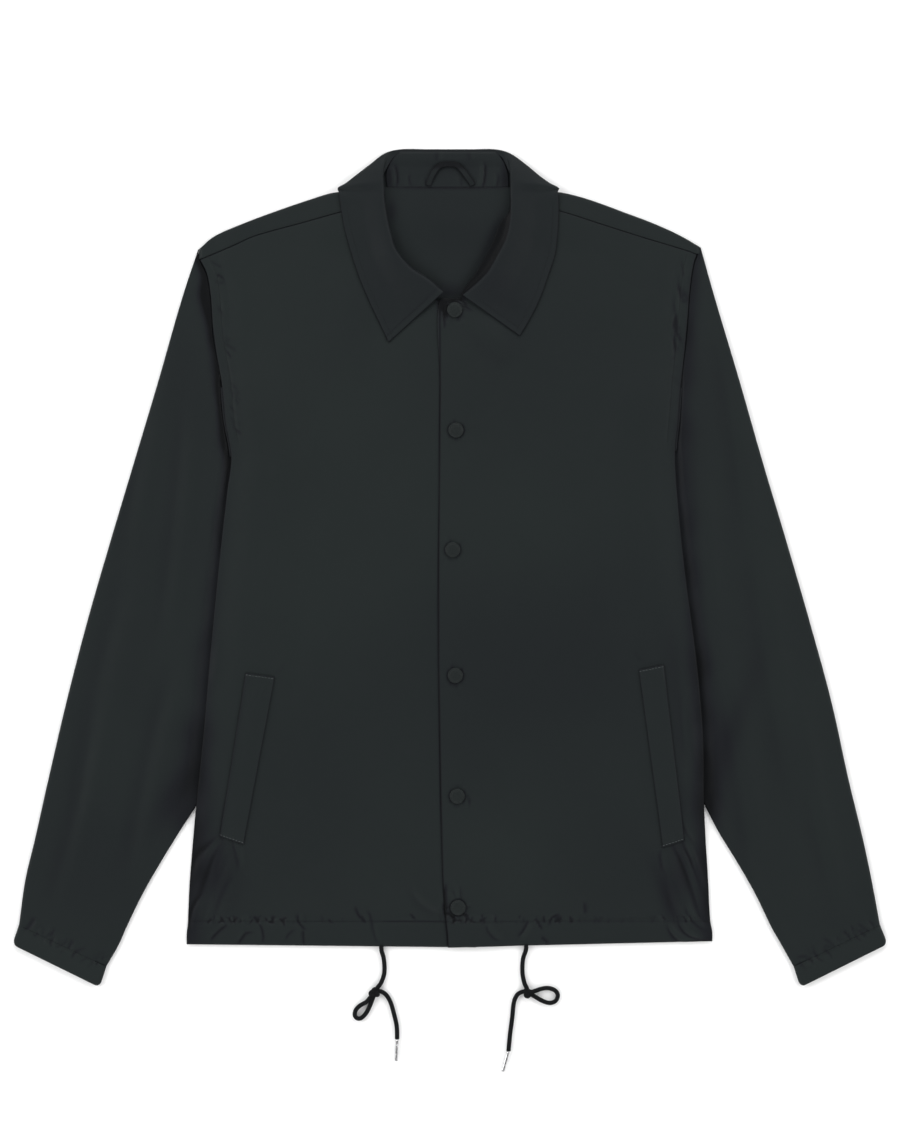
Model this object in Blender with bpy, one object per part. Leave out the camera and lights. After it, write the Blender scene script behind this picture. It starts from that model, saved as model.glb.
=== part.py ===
"""A coach jacket, fastened and laid flat on its back.

The cloth is light woven nylon with a press-stud front, a pointed collar, two slanted
welt pockets, elastic cuffs and a drawcord in the hem.

Frame: metres, +Z up. The jacket lies on z = 0 with its hem towards -Y and its collar
towards +Y. X runs across it, and the wearer's left side is at +X. The origin is the
middle of the jacket's box on the surface that it lies on, its cord ends left out.
The tables below are in millimetres.
"""

import math
from collections import namedtuple

import bmesh
import bpy
from mathutils import Vector

MM = 0.001

# Cloth and clearances
CLOTH = 1.2                 # wall of the body, sleeves and welts
COLLAR_CLOTH = 1.5          # collar of two plies
CASING_EXTRA = 1.0          # second ply and cord inside the hem
SEAM_GAP = 0.3              # between pieces that are sewn or lie together
CUT_GAP = 0.6               # between two curved edges whose facets differ
PUFF = 2.0                  # air between the back and the fronts
OVERLAP = 31.0              # width of the button stand under the other front

# The body lies on the inner side of the sleeves
TUCK_HEIGHT = 3.0           # sleeve pressed flat under the body
TUCK_REACH = 42.0           # how far in the sleeves reach, and how softly the body comes down
TUCK_FADE = 45.0
TUCK_TOP = 142.0            # where the body comes down again towards the shoulder and the hem
TUCK_TOP_FADE = 80.0
TUCK_BOTTOM = -240.0
TUCK_BOTTOM_FADE = 40.0

# The back lies on the back of the collar
NECK_LIFT = 1.8
NECK_LIFT_START = 300.0
NECK_LIFT_RISE = 38.0
NECK_LIFT_HALF = 112.0
NECK_LIFT_FADE = 35.0

# Air between the back and the fronts closes at the sides and the hem
SIDE_CLOSING = 30.0
HEM_CLOSING = 45.0
SHOULDER_AIR = 0.6
CASING_TOP = -342.0         # top of the casing that the drawcord runs in

SLEEVE_RIM = 3.6            # height of the sleeve where it is sewn to the body
SLEEVE_CROWN = 5.4
SLEEVE_INNER = 4.2
CUFF_HEIGHT = 5.4

UNDERARM = 9                # place of the underarm in the tables of the sides

Rung = namedtuple("Rung", "inner_x inner_y outer_x outer_y")
Fold = namedtuple("Fold", "start_x start_y end_x end_y width height")
Station = namedtuple(
    "Station", "seam_x seam_y seam_z roll_x roll_y roll_z turn_x turn_y edge_x edge_y wrap")

# Side and armhole of the body, from the hem's corner up to the tip of the shoulder
RIGHT_SIDE = [(-253, -362), (-253, -352), (-252, -343), (-250, -300), (-244, -232), (-237, -162),
              (-231, -92), (-222, 1), (-214, 72), (-210, 106), (-216, 143), (-220, 184),
              (-227, 219), (-229, 252), (-233, 280), (-240, 295)]
LEFT_SIDE = [(252, -359), (252, -350), (250, -339), (248, -300), (244, -232), (243, -162),
             (237, -92), (225, 1), (218, 72), (216, 111), (219, 143), (222, 180),
             (227, 222), (230, 264), (234, 291), (237, 300)]

# Front edge with the studs, from the hem up to the collar
FRONT_EDGE = [(-2, -365), (-2.5, -354), (-4, -339), (-7, -300), (-9, -216), (-11, -92), (-11, 7),
              (-10, 110), (-9.5, 178), (-10, 256)]

# Neckline of each front, from the top of the front edge to the shoulder seam
RIGHT_NECK = [(-12, 257), (-33, 272), (-47, 281), (-60, 299), (-66, 313), (-71, 336), (-73, 349)]
LEFT_NECK = [(10, 259), (16, 268), (24, 279), (35, 298), (42, 312), (50, 331), (66, 349)]

# Top of the back: the fold over each shoulder, and the seam of the neck between them
RIGHT_SHOULDER_FOLD = [(-241, 306), (-227, 318), (-200, 330), (-171, 341), (-136, 353),
                       (-112, 360), (-98, 361), (-85, 363.5), (-73, 366)]
LEFT_SHOULDER_FOLD = [(66, 366), (82, 363.5), (94, 361), (108, 360), (135, 353), (168, 341),
                      (197, 330), (223, 318), (240, 308)]
RIGHT_SHOULDER_SEAM = [(-240, 295.5), (-208, 309), (-188, 318), (-145, 330), (-105, 341), (-73, 349.5)]
LEFT_SHOULDER_SEAM = [(66, 349.5), (105, 342), (150, 328), (188, 316), (228, 304), (237, 300.5)]
NECK_SEAM_Y = 365.5

# Sleeves, from the shoulder to the seam of the cuff
RIGHT_SLEEVE_OUTER = [(-242.5, 304), (-258, 257), (-280, 180), (-303, 103), (-326, 26), (-348, -50),
                      (-368, -127), (-386, -204), (-399, -262), (-408, -300), (-414, -343)]
RIGHT_SLEEVE_INNER = [(-211.5, 106), (-196, 81), (-188, 50), (-185, 7), (-188, -41), (-195, -94),
                      (-205, -146), (-222, -192), (-240, -223), (-260, -254), (-279, -285),
                      (-296, -315), (-311, -346), (-318, -362), (-330, -383)]
LEFT_SLEEVE_OUTER = [(241.5, 305), (255, 257), (278, 180), (300, 103), (323, 26), (345, -50),
                     (366, -127), (383, -204), (397, -262), (405, -300), (413, -343)]
LEFT_SLEEVE_INNER = [(217.5, 111), (203, 86), (194, 55), (190, 7), (192, -41), (198, -94),
                     (209, -146), (227, -194), (243, -225), (258, -254), (277, -285),
                     (294, -315), (309, -346), (317, -360), (330, -383)]
RIGHT_CUFF_EDGE = [(-420.5, -362), (-336.5, -403.2)]
LEFT_CUFF_EDGE = [(420.5, -361.5), (336.5, -403.2)]

# Height of the gathers across a cuff, beside its stitching
CUFF_GATHERS = [0.0, 0.5, -0.2, 0.1, 0.7, 0.0, -0.3, 0.4, 0.0, 0.2, -0.2, 0.6, 0.1, -0.1, 0.4, 0.0, 0.3]

# Long soft folds that show on the laid cloth
SLEEVE_FOLDS = [
    Fold(-262, 225, -300, 20, 9, 0.7),
    Fold(-246, 150, -268, -60, 8, 0.6),
    Fold(-300, -20, -345, -240, 11, 0.7),
    Fold(-258, -110, -296, -290, 9, 0.8),
    Fold(-330, -150, -372, -320, 8, 0.6),
    Fold(268, 215, 292, 40, 9, 0.7),
    Fold(246, 120, 262, -80, 8, 0.6),
    Fold(305, 10, 340, -210, 11, 0.7),
    Fold(266, -90, 300, -290, 9, 0.8),
    Fold(338, -120, 378, -320, 8, 0.6),
]
FRONT_FOLDS = [
    Fold(-232, -215, -240, -335, 8, 0.9),
    Fold(-205, -268, -232, -345, 7, 0.8),
    Fold(-222, -60, -228, -190, 9, 0.7),
    Fold(228, -60, 234, -200, 9, 0.7),
    Fold(236, -200, 242, -330, 8, 0.9),
    Fold(205, -275, 240, -350, 7, 0.8),
    Fold(30, 236, 62, 205, 8, 0.6),
]
HEM_PUCKERS = [
    Fold(-226, -336, -216, -360, 5, 1.0),
    Fold(-205, -334, -214, -358, 5, 0.9),
    Fold(-186, -332, -192, -359, 5, 1.1),
    Fold(-166, -335, -170, -360, 5, 0.8),
    Fold(-147, -334, -143, -360, 5, 1.0),
    Fold(-96, -326, -88, -356, 5, 0.8),
    Fold(-72, -330, -65, -360, 6, 1.6),
    Fold(38, -338, 50, -356, 5, 0.9),
    Fold(72, -336, 73, -360, 6, 1.6),
    Fold(104, -338, 96, -358, 5, 0.8),
    Fold(128, -336, 132, -358, 5, 0.7),
    Fold(212, -334, 238, -360, 5, 0.9),
]

# Collar, from the right front round the back of the neck to the left front. The last
# column is 0 where the leaf lies on the fronts, 1 where it turns under the back, and
# 0.5 at the shoulder fold between them.
COLLAR = [
    Station(-12.0, 259.5, 5.6, -6, 264, 9.0, -35, 238, -59, 216, 0),
    Station(-26.0, 269.5, 5.8, -20, 276, 10.0, -46, 251, -66, 231, 0),
    Station(-41.5, 279.5, 6.0, -38, 288, 10.4, -60, 269, -77, 254, 0),
    Station(-58.0, 300.0, 6.3, -52, 305, 10.6, -72, 289, -87, 278, 0),
    Station(-64.5, 314.0, 6.5, -57, 320, 10.6, -78, 306, -94, 299, 0),
    Station(-69.5, 334.0, 6.7, -61, 338, 10.5, -82, 325, -100, 320, 0),
    Station(-71.5, 347.0, 6.9, -63.5, 356, 10.2, -86, 347, -104.5, 343, 0),
    Station(-70.5, 355.0, 6.7, -63.5, 361, 10.0, -90, 360, -106.6, 362.4, 0.5),
    Station(-69.5, 364.0, 6.4, -64.0, 369, 9.8, -107.6, 363.6, -104, 359, 1),
    Station(-68.0, 372.0, 5.6, -64.3, 376, 9.0, -100.5, 367.8, -98, 352, 1),
    Station(-63.0, 379.0, 4.4, -64, 385, 7.6, -92, 374.5, -100, 351, 1),
    Station(-58.0, 388.0, 3.2, -61, 394, 5.2, -76, 387, -88, 347, 1),
    Station(-53.0, 394.0, 2.7, -57, 398.5, 3.4, -62, 397.5, -76, 345, 1),
    Station(-44.0, 396.0, 2.55, -46, 400, 2.7, -47, 401.2, -54, 344, 1),
    Station(-22.0, 396.0, 2.55, -22, 400, 2.55, -22, 401.2, -27, 344, 1),
    Station(0.0, 396.0, 2.55, 0, 400, 2.55, 0, 401.2, 0, 344, 1),
    Station(21.0, 396.0, 2.55, 21, 400, 2.55, 21, 401.2, 26, 344, 1),
    Station(41.0, 396.0, 2.55, 42, 400, 2.7, 43, 401.2, 52, 344, 1),
    Station(49.0, 394.0, 2.7, 52, 398.5, 3.4, 57, 397.5, 72, 345, 1),
    Station(53.0, 388.0, 3.2, 56, 394, 5.2, 72, 387, 84, 347, 1),
    Station(57.0, 379.0, 4.4, 58, 385, 7.6, 87, 374.5, 96, 351, 1),
    Station(62.0, 372.0, 5.6, 58.3, 376, 9.0, 96.5, 367.8, 94, 352, 1),
    Station(63.5, 364.0, 6.4, 58.4, 369, 9.8, 104.2, 363.6, 100.6, 359, 1),
    Station(64.0, 355.0, 6.7, 58.4, 360, 10.0, 87, 360, 103.2, 362.4, 0.5),
    Station(64.0, 347.0, 6.9, 58.5, 354, 10.2, 82, 347, 104.5, 343, 0),
    Station(49.0, 331.5, 6.4, 58, 336, 10.6, 82, 325, 103.5, 322, 0),
    Station(41.0, 312.5, 6.2, 54, 316, 10.8, 78, 306, 101, 301, 0),
    Station(34.0, 299.0, 6.2, 46, 300, 10.8, 72, 288, 94, 279, 0),
    Station(23.0, 280.5, 6.4, 36, 283, 10.6, 62, 267, 86, 257, 0),
    Station(14.5, 269.5, 6.6, 23, 270, 10.2, 50, 251, 76, 237, 0),
    Station(9.0, 261.0, 6.8, 12, 261, 9.6, 40, 240, 67, 222, 0),
]

# Loop of tape at the back of the neck
HANGER_ROUTE = [(-20, 368.5), (-17, 378), (-10.5, 384.5), (0, 387), (9, 384.5), (15.5, 378), (21.5, 368.5)]
HANGER_WIDTH = 6.0

# Press studs down the left front
STUDS = [(4.6, 247.3), (5.7, 131.8), (2.6, 17.0), (5.1, -103.6), (6.9, -219.4), (7.7, -326.4)]
STUD_RADIUS = 7.4
STUD_HEIGHT = 2.2

# Corners of each pocket welt: top inner, top outer, bottom inner, bottom outer
RIGHT_WELT = [(-168, -105), (-196, -101), (-198, -266), (-221, -258)]
LEFT_WELT = [(181, -98), (205, -93), (204, -269), (225, -262)]

# Drawcord ends, which lie on the surface below the hem
CORD = 3.5
KNOT_RADIUS = 5.2
RIGHT_LEAD = [(-66, -364.6), (-65.8, -368), (-63.6, -376), (-63.2, -390), (-66.5, -399.5), (-69.6, -403.6)]
RIGHT_LOOP = [(-76.6, -413.2), (-80.5, -417.5), (-86.5, -421), (-90.6, -425.5), (-91.2, -431),
              (-87.4, -433.6), (-82.4, -430.4), (-78.5, -424.5), (-74.6, -415.1)]
RIGHT_TAIL = [(-66.9, -407.2), (-62, -410), (-57.5, -417), (-54, -428.3), (-51.2, -441), (-50.8, -453)]
RIGHT_AGLET = [(-50.8, -453.4), (-51.8, -474.5)]
LEFT_LEAD = [(73.2, -363.6), (72.8, -368), (70.2, -376), (69.6, -389), (71.4, -399), (73.5, -403.6)]
LEFT_LOOP = [(81, -407.2), (88, -404.8), (95, -404.2), (101.4, -406.8), (103.6, -411.4),
             (101.2, -416.6), (95.5, -418.4), (88, -416), (80.9, -411.9)]
LEFT_TAIL = [(69.2, -407.8), (64.6, -410.6), (61.4, -418), (59.8, -432.5), (57.6, -449.4), (56.2, -464.6)]
LEFT_AGLET = [(56.1, -465), (50.6, -484.5)]


def clear_scene():
    for obj in list(bpy.data.objects):
        bpy.data.objects.remove(obj, do_unlink=True)


def make_material(name, colour, roughness, metallic=0.0):
    material = bpy.data.materials.new(name)
    material.use_nodes = True
    shader = material.node_tree.nodes["Principled BSDF"]
    shader.inputs["Base Color"].default_value = (*colour, 1.0)
    shader.inputs["Roughness"].default_value = roughness
    shader.inputs["Metallic"].default_value = metallic
    return material


def add_piece(name, bm, material, wall=0.0, offset=0.0):
    """Makes one named object from a bmesh in millimetres, with a wall if it is one sheet."""
    bmesh.ops.remove_doubles(bm, verts=bm.verts[:], dist=0.001)
    bmesh.ops.scale(bm, vec=(MM, MM, MM), verts=bm.verts[:])
    if not wall:
        bmesh.ops.recalc_face_normals(bm, faces=bm.faces[:])
    mesh = bpy.data.meshes.new(name)
    bm.to_mesh(mesh)
    bm.free()
    mesh.shade_smooth()
    mesh.set_sharp_from_angle(angle=math.radians(50))
    mesh.materials.append(material)
    obj = bpy.data.objects.new(name, mesh)
    bpy.context.scene.collection.objects.link(obj)
    if wall:
        cloth = obj.modifiers.new("wall", "SOLIDIFY")
        cloth.thickness = wall * MM
        cloth.offset = offset
    return obj


def smooth_step(value):
    """0 below 0 and 1 above 1, with a soft start and end between them."""
    value = min(max(value, 0.0), 1.0)
    return value * value * (3.0 - 2.0 * value)


def through(points, place):
    """Point on a smooth curve through the points; place counts points from 0."""
    last = len(points) - 1
    place = min(max(place, 0.0), float(last))
    index = min(int(place), last - 1)
    part = place - index
    here, after = Vector(points[index]), Vector(points[index + 1])
    before = Vector(points[index - 1]) if index > 0 else here
    beyond = Vector(points[index + 2]) if index + 2 <= last else after
    span, span_back, span_on = (after - here).length, (here - before).length, (beyond - after).length
    leave = (after - before) * (span / (span + span_back))
    arrive = (beyond - here) * (span / (span + span_on))
    square, cube = part * part, part ** 3
    return (here * (2 * cube - 3 * square + 1) + leave * (cube - 2 * square + part)
            + after * (3 * square - 2 * cube) + arrive * (cube - square))


def along(points, fraction):
    """Point at a fraction of the length of the smooth curve through the points."""
    lengths = [0.0]
    for start, end in zip(points, points[1:]):
        lengths.append(lengths[-1] + (Vector(end) - Vector(start)).length)
    wanted = min(max(fraction, 0.0), 1.0) * lengths[-1]
    for index in range(len(points) - 1):
        if wanted <= lengths[index + 1]:
            break
    part = (wanted - lengths[index]) / (lengths[index + 1] - lengths[index])
    return through(points, index + part)


def at_x(points, x):
    """Height in the table of (x, y) points at x, along straight lines."""
    for (x0, y0), (x1, y1) in zip(points, points[1:]):
        if x <= x1:
            return y0 + (y1 - y0) * (x - x0) / (x1 - x0)
    return points[-1][1]


def side_x(y, side):
    """Distance from the middle of the body to its side at a height."""
    points = RIGHT_SIDE if side < 0 else LEFT_SIDE
    for (x0, y0), (x1, y1) in zip(points, points[1:]):
        if y <= y1:
            return abs(x0 + (x1 - x0) * (y - y0) / (y1 - y0))
    return abs(points[-1][0])


def relief(x, y, folds):
    """Sum of the soft ridges that pass a point."""
    total = 0.0
    for fold in folds:
        run_x, run_y = fold.end_x - fold.start_x, fold.end_y - fold.start_y
        length = math.hypot(run_x, run_y)
        step_x, step_y = x - fold.start_x, y - fold.start_y
        place = (step_x * run_x + step_y * run_y) / length ** 2
        away = (step_x * run_y - step_y * run_x) / length
        if -0.2 < place < 1.2 and abs(away) < 3.0 * fold.width:
            fade = smooth_step((place + 0.2) / 0.4) * smooth_step((1.2 - place) / 0.4)
            total += fold.height * fade * math.exp(-(away / fold.width) ** 2)
    return total


def back_under(x, y):
    """Underside of the back, raised over the sleeves and over the back of the collar."""
    inside = side_x(y, x) - abs(x)
    over_sleeve = 1.0 - smooth_step((inside - TUCK_REACH) / TUCK_FADE)
    over_sleeve *= 1.0 - smooth_step((y - TUCK_TOP) / TUCK_TOP_FADE)
    over_sleeve *= smooth_step((y - TUCK_BOTTOM + TUCK_BOTTOM_FADE) / TUCK_BOTTOM_FADE)
    over_collar = smooth_step((y - NECK_LIFT_START) / NECK_LIFT_RISE)
    over_collar *= 1.0 - smooth_step((abs(x) - NECK_LIFT_HALF) / NECK_LIFT_FADE)
    return (TUCK_HEIGHT + SEAM_GAP) * over_sleeve + NECK_LIFT * over_collar


def front_under(x, y):
    """Underside of a front, which lies on the back with some air between them."""
    inside = side_x(y, x) - abs(x)
    near_edge = smooth_step(inside / SIDE_CLOSING)
    near_shoulder = SHOULDER_AIR * smooth_step((y - 180.0) / 60.0)
    air = PUFF * max(near_edge, near_shoulder) * smooth_step((y - CASING_TOP) / HEM_CLOSING)
    ridges = relief(x, y, FRONT_FOLDS) + relief(x, y, HEM_PUCKERS)
    return back_under(x, y) + CLOTH + SEAM_GAP + air + ridges


def front_top(x, y):
    casing = 1.0 - smooth_step((y - CASING_TOP + 1.0) / 4.0)
    return front_under(x, y) + CLOTH + CASING_EXTRA * casing


def stand_lift(x):
    """Rise of the left front where it lies over the right front's edge."""
    return (CLOTH + SEAM_GAP) * (1.0 - smooth_step((x - 27.0) / 45.0))


def casing_step(y):
    """Rise of the left front over the hem of the right front."""
    return CASING_EXTRA * (1.0 - smooth_step((y - CASING_TOP - 4.0) / 6.0))


def left_front_under(x, y):
    lift = stand_lift(x)
    return front_under(x, y) + lift + casing_step(y) * lift / (CLOTH + SEAM_GAP)


def left_front_top(x, y):
    return left_front_under(x, y) + front_top(x, y) - front_under(x, y)


def slab(name, columns, rows, place, top, under, material):
    """A panel of cloth: a grid of cells between an under and a top height."""
    bm = bmesh.new()
    bmesh.ops.create_grid(bm, x_segments=columns, y_segments=rows, size=0.5)
    for vert in bm.verts:
        spot = place(round((vert.co.x + 0.5) * columns), round((vert.co.y + 0.5) * rows))
        vert.co = (spot.x, spot.y, under(spot.x, spot.y))
    raised = bmesh.ops.extrude_face_region(bm, geom=bm.faces[:])["geom"]
    for vert in raised:
        if isinstance(vert, bmesh.types.BMVert):
            vert.co.z = top(vert.co.x, vert.co.y)
    return add_piece(name, bm, material)


def loft(name, rings, material, closed=False):
    """A skin through rings of points. Closed, it runs back to its first ring."""
    bm = bmesh.new()
    order = bm.verts.layers.int.new("order")
    count = len(rings[0])
    start = bmesh.ops.create_circle(bm, segments=count, radius=1.0)["verts"]
    for index, vert in enumerate(start):
        vert[order] = index
        vert.co = rings[0][index]
    edges = bm.edges[:]
    first = edges[:]
    for ring in rings[1:] + ([rings[0]] if closed else []):
        grown = bmesh.ops.extrude_edge_only(bm, edges=edges)["geom"]
        verts = {item for item in grown if isinstance(item, bmesh.types.BMVert)}
        for vert in verts:
            vert.co = ring[vert[order]]
        edges = [item for item in grown if isinstance(item, bmesh.types.BMEdge)
                 and item.verts[0] in verts and item.verts[1] in verts]
    if not closed:
        bmesh.ops.contextual_create(bm, geom=first)
        bmesh.ops.contextual_create(bm, geom=edges)
    return add_piece(name, bm, material)


def front_ladder(side_points, edge_points, neck_points):
    """Rungs of a front panel from the hem to the shoulder seam, front edge first."""
    lower = [Rung(*edge_points[i], *side_points[i]) for i in range(len(edge_points))]
    armhole_start = len(edge_points) - 1
    upper = []
    for index, neck in enumerate(neck_points):
        share = (index + 1) / len(neck_points)
        outer = through(side_points, armhole_start + share * (len(side_points) - 1 - armhole_start))
        upper.append(Rung(*neck, *outer))
    return lower + upper


def build_front(name, ladder, seam, rows, columns, top, under, material):
    """A front panel, whose upper rungs bow out to follow the seam on the shoulder."""
    inner = [(rung.inner_x, rung.inner_y) for rung in ladder]
    outer = [(rung.outer_x, rung.outer_y) for rung in ladder]
    last_straight = len(FRONT_EDGE) + 1

    def place(column, row):
        share = column / columns
        start, end = through(inner, rows[row]), through(outer, rows[row])
        bow = along(seam, share) - Vector(seam[0]).lerp(Vector(seam[-1]), share)
        strength = smooth_step((rows[row] - last_straight) / (len(ladder) - 1 - last_straight))
        return start.lerp(end, share) + bow * strength

    return slab(name, columns, len(rows) - 1, place, top, under, material)


def build_back(material):
    """The back, which runs over each shoulder to a seam on the front."""
    top_x = [-241, -222, -200, -176, -150, -125, -100, -73, -60, -40, -20, 0, 20, 40, 56,
             66, 94, 120, 148, 176, 200, 222, 240]
    neck_columns = range(8, 15)
    side_rows = [0, 1, 2, 3, 3.5, 4, 4.5, 5, 6, 7, 8, 8.6, 9.2, 9.86, 10.71, 11.57, 12.43, 13.29, 14.14]
    turn_rows = [(1.0, 0.0), (0.3, 0.29), (0.0, 1.0), (0.3, 1.71), (1.0, 2.0)]
    strip_rows = [0.5, 1.0]
    main = len(side_rows)
    rows = main + len(turn_rows) + len(strip_rows)
    shape_from = side_rows.index(9.2)

    def crest(index):
        x = top_x[index]
        if index in neck_columns:
            return Vector((x, NECK_SEAM_Y - SEAM_GAP))
        fold = RIGHT_SHOULDER_FOLD if x < 0 else LEFT_SHOULDER_FOLD
        return Vector((x, at_x(fold, x)))

    def seam(index):
        x = top_x[index]
        if x < 0:
            share = (x - top_x[0]) / (-73 - top_x[0])
            return along(RIGHT_SHOULDER_SEAM, share) + Vector((0.0, CUT_GAP))
        share = (x - 66) / (top_x[-1] - 66)
        return along(LEFT_SHOULDER_SEAM, share) + Vector((0.0, CUT_GAP))

    def outer_point(column, row):
        share = (top_x[column] - top_x[0]) / (top_x[-1] - top_x[0])
        crest_point = crest(column)
        if row < main:
            left, right = through(RIGHT_SIDE, side_rows[row]), through(LEFT_SIDE, side_rows[row])
            spot = left.lerp(right, share)
            shaped = smooth_step((row - shape_from) / (main - shape_from)) if row > shape_from else 0.0
            straight_y = left.y + (right.y - left.y) * share
            rise = crest_point.y - RIGHT_SHOULDER_FOLD[0][1]
            spot.y = straight_y + rise * shaped * 0.93
            return (spot.x, spot.y, back_under(spot.x, spot.y))
        low = back_under(crest_point.x, crest_point.y)
        seam_point = seam(column)
        high = front_top(seam_point.x, seam_point.y)
        radius = 0.5 * (high - low)
        if column in neck_columns:
            step = turn_rows[min(row - main, 2)][0]
            return (crest_point.x, crest_point.y - step * radius, low)
        if row < main + len(turn_rows):
            step, height = turn_rows[row - main]
            toward = (seam_point - crest_point).normalized() * step * radius
            return (crest_point.x + toward.x, crest_point.y + toward.y, low + height * radius)
        start = crest_point + (seam_point - crest_point).normalized() * radius
        spot = start.lerp(seam_point, strip_rows[row - main - len(turn_rows)])
        return (spot.x, spot.y, front_top(spot.x, spot.y))

    bm = bmesh.new()
    columns = len(top_x) - 1
    bmesh.ops.create_grid(bm, x_segments=columns, y_segments=rows - 1, size=0.5)
    spare = []
    for face in bm.faces:
        centre = face.calc_center_median()
        column = int((centre.x + 0.5) * columns)
        row = int((centre.y + 0.5) * (rows - 1))
        if row >= main + 2 and 7 <= column <= 14:
            spare.append(face)
    places = {vert: (round((vert.co.x + 0.5) * columns), round((vert.co.y + 0.5) * (rows - 1)))
              for vert in bm.verts}
    for vert, (column, row) in places.items():
        vert.co = outer_point(column, row)
    bmesh.ops.delete(bm, geom=spare, context="FACES")
    bmesh.ops.reverse_faces(bm, faces=bm.faces[:])
    return add_piece("back", bm, material, wall=CLOTH, offset=-1.0)


def tube_ring(start, end, tuck, height, inner_height, inset, bow, ripple):
    """Outline of a flattened sleeve across its width, its upper side first.

    start and end are the two edges, tuck is where the body's side crosses it, and
    inset moves the outline in by the thickness of the cloth.
    """
    width = (end - start).length
    way = (end - start) / width
    outer_round, inner_round = 0.5 * height - inset, 0.5 * inner_height - inset
    near, far = inset, width - inset
    fall_end = min(tuck - 2.0, far - 2.2 * inner_round)
    fall_start = fall_end - 15.0
    steps = 7
    marks = [near, near + 0.3 * outer_round, near + outer_round]
    marks += [marks[2] + (fall_start - marks[2]) * (step / steps) ** 1.5 for step in range(1, steps)]
    marks += [fall_start, 0.5 * (fall_start + fall_end), fall_end]
    marks += [far - inner_round, far - 0.3 * inner_round, far]

    def side_of_round(distance, radius):
        distance = min(max(distance, 0.0), radius)
        return math.sqrt(max(2.0 * radius * distance - distance ** 2, 0.0))

    upper, lower = [], []
    for mark in marks:
        spot = start + way * mark + bow(mark / width)
        share = smooth_step((mark - fall_start) / (fall_end - fall_start))
        crest = height + (inner_height - height) * share
        middle = 0.5 * crest
        reach = min(side_of_round(mark - near, outer_round) / max(outer_round, 0.001),
                    side_of_round(far - mark, inner_round) / max(inner_round, 0.001))
        lift = ripple(spot.x, spot.y) * reach * (1.0 - share)
        upper.append((spot.x, spot.y, middle + reach * (middle - inset) + lift))
        lower.append((spot.x, spot.y, middle - reach * (middle - inset)))
    return upper + lower[-2:0:-1]


def crossing(start, end, bow, side):
    """How far from its outer edge a sleeve's rung meets the side of the body."""
    width = (end - start).length
    low, high = 0.0, 1.0
    for _ in range(20):
        share = 0.5 * (low + high)
        spot = start.lerp(end, share) + bow(share)
        if abs(spot.x) > side_x(spot.y, side):
            low = share
        else:
            high = share
    return high * width


def armhole_curve(side, side_points):
    """The sleeve's seam from the tip of the shoulder down to the underarm."""
    last = len(side_points) - 1
    spots = [through(side_points, last - (last - UNDERARM) * step / 18) for step in range(19)]
    tip = RIGHT_SHOULDER_FOLD[0] if side < 0 else LEFT_SHOULDER_FOLD[-1]
    spots = [Vector(tip)] + spots
    seam = []
    for index, spot in enumerate(spots):
        ahead = spots[min(index + 1, len(spots) - 1)] - spots[max(index - 1, 0)]
        seam.append(spot + Vector((-ahead.y, ahead.x)).normalized() * side * 1.5 * CUT_GAP)
    return seam


def sleeve_rung(side, outer, inner, armhole, place):
    """Edges, tuck and heights of a sleeve at a place between the armhole and the cuff."""
    start, end = along(outer, place), along(inner, place)
    height = SLEEVE_RIM + (SLEEVE_CROWN - SLEEVE_RIM) * smooth_step(place / 0.14)
    free = smooth_step((place - 0.66) / 0.2)
    inner_height = TUCK_HEIGHT + (SLEEVE_INNER - TUCK_HEIGHT) * free
    strength = max(0.0, 1.0 - place / 0.3) ** 2

    def bow(share):
        curve = along(armhole, share) - along(outer, 0.0).lerp(along(inner, 0.0), share)
        return curve * strength

    tuck = crossing(start, end, bow, side)
    return start, end, tuck, height, inner_height, bow


def build_sleeve(name, side, outer, inner, side_points, material):
    rows = [0.0, 0.04, 0.09, 0.15, 0.21, 0.27, 0.33, 0.39, 0.45, 0.51, 0.57, 0.63, 0.69, 0.75,
            0.81, 0.87, 0.93, 0.975, 1.0]
    armhole = armhole_curve(side, side_points)
    skins = []
    for inset in (0.0, CLOTH):
        rings = []
        for place in rows:
            start, end, tuck, height, inner_height, bow = sleeve_rung(
                side, outer, inner, armhole, place)
            rings.append(tube_ring(start, end, tuck, height, inner_height, inset, bow,
                                   lambda x, y: relief(x, y, SLEEVE_FOLDS)))
        skins.append(rings)
    return loft(name, skins[0] + skins[1][::-1], material, closed=True)


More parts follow.
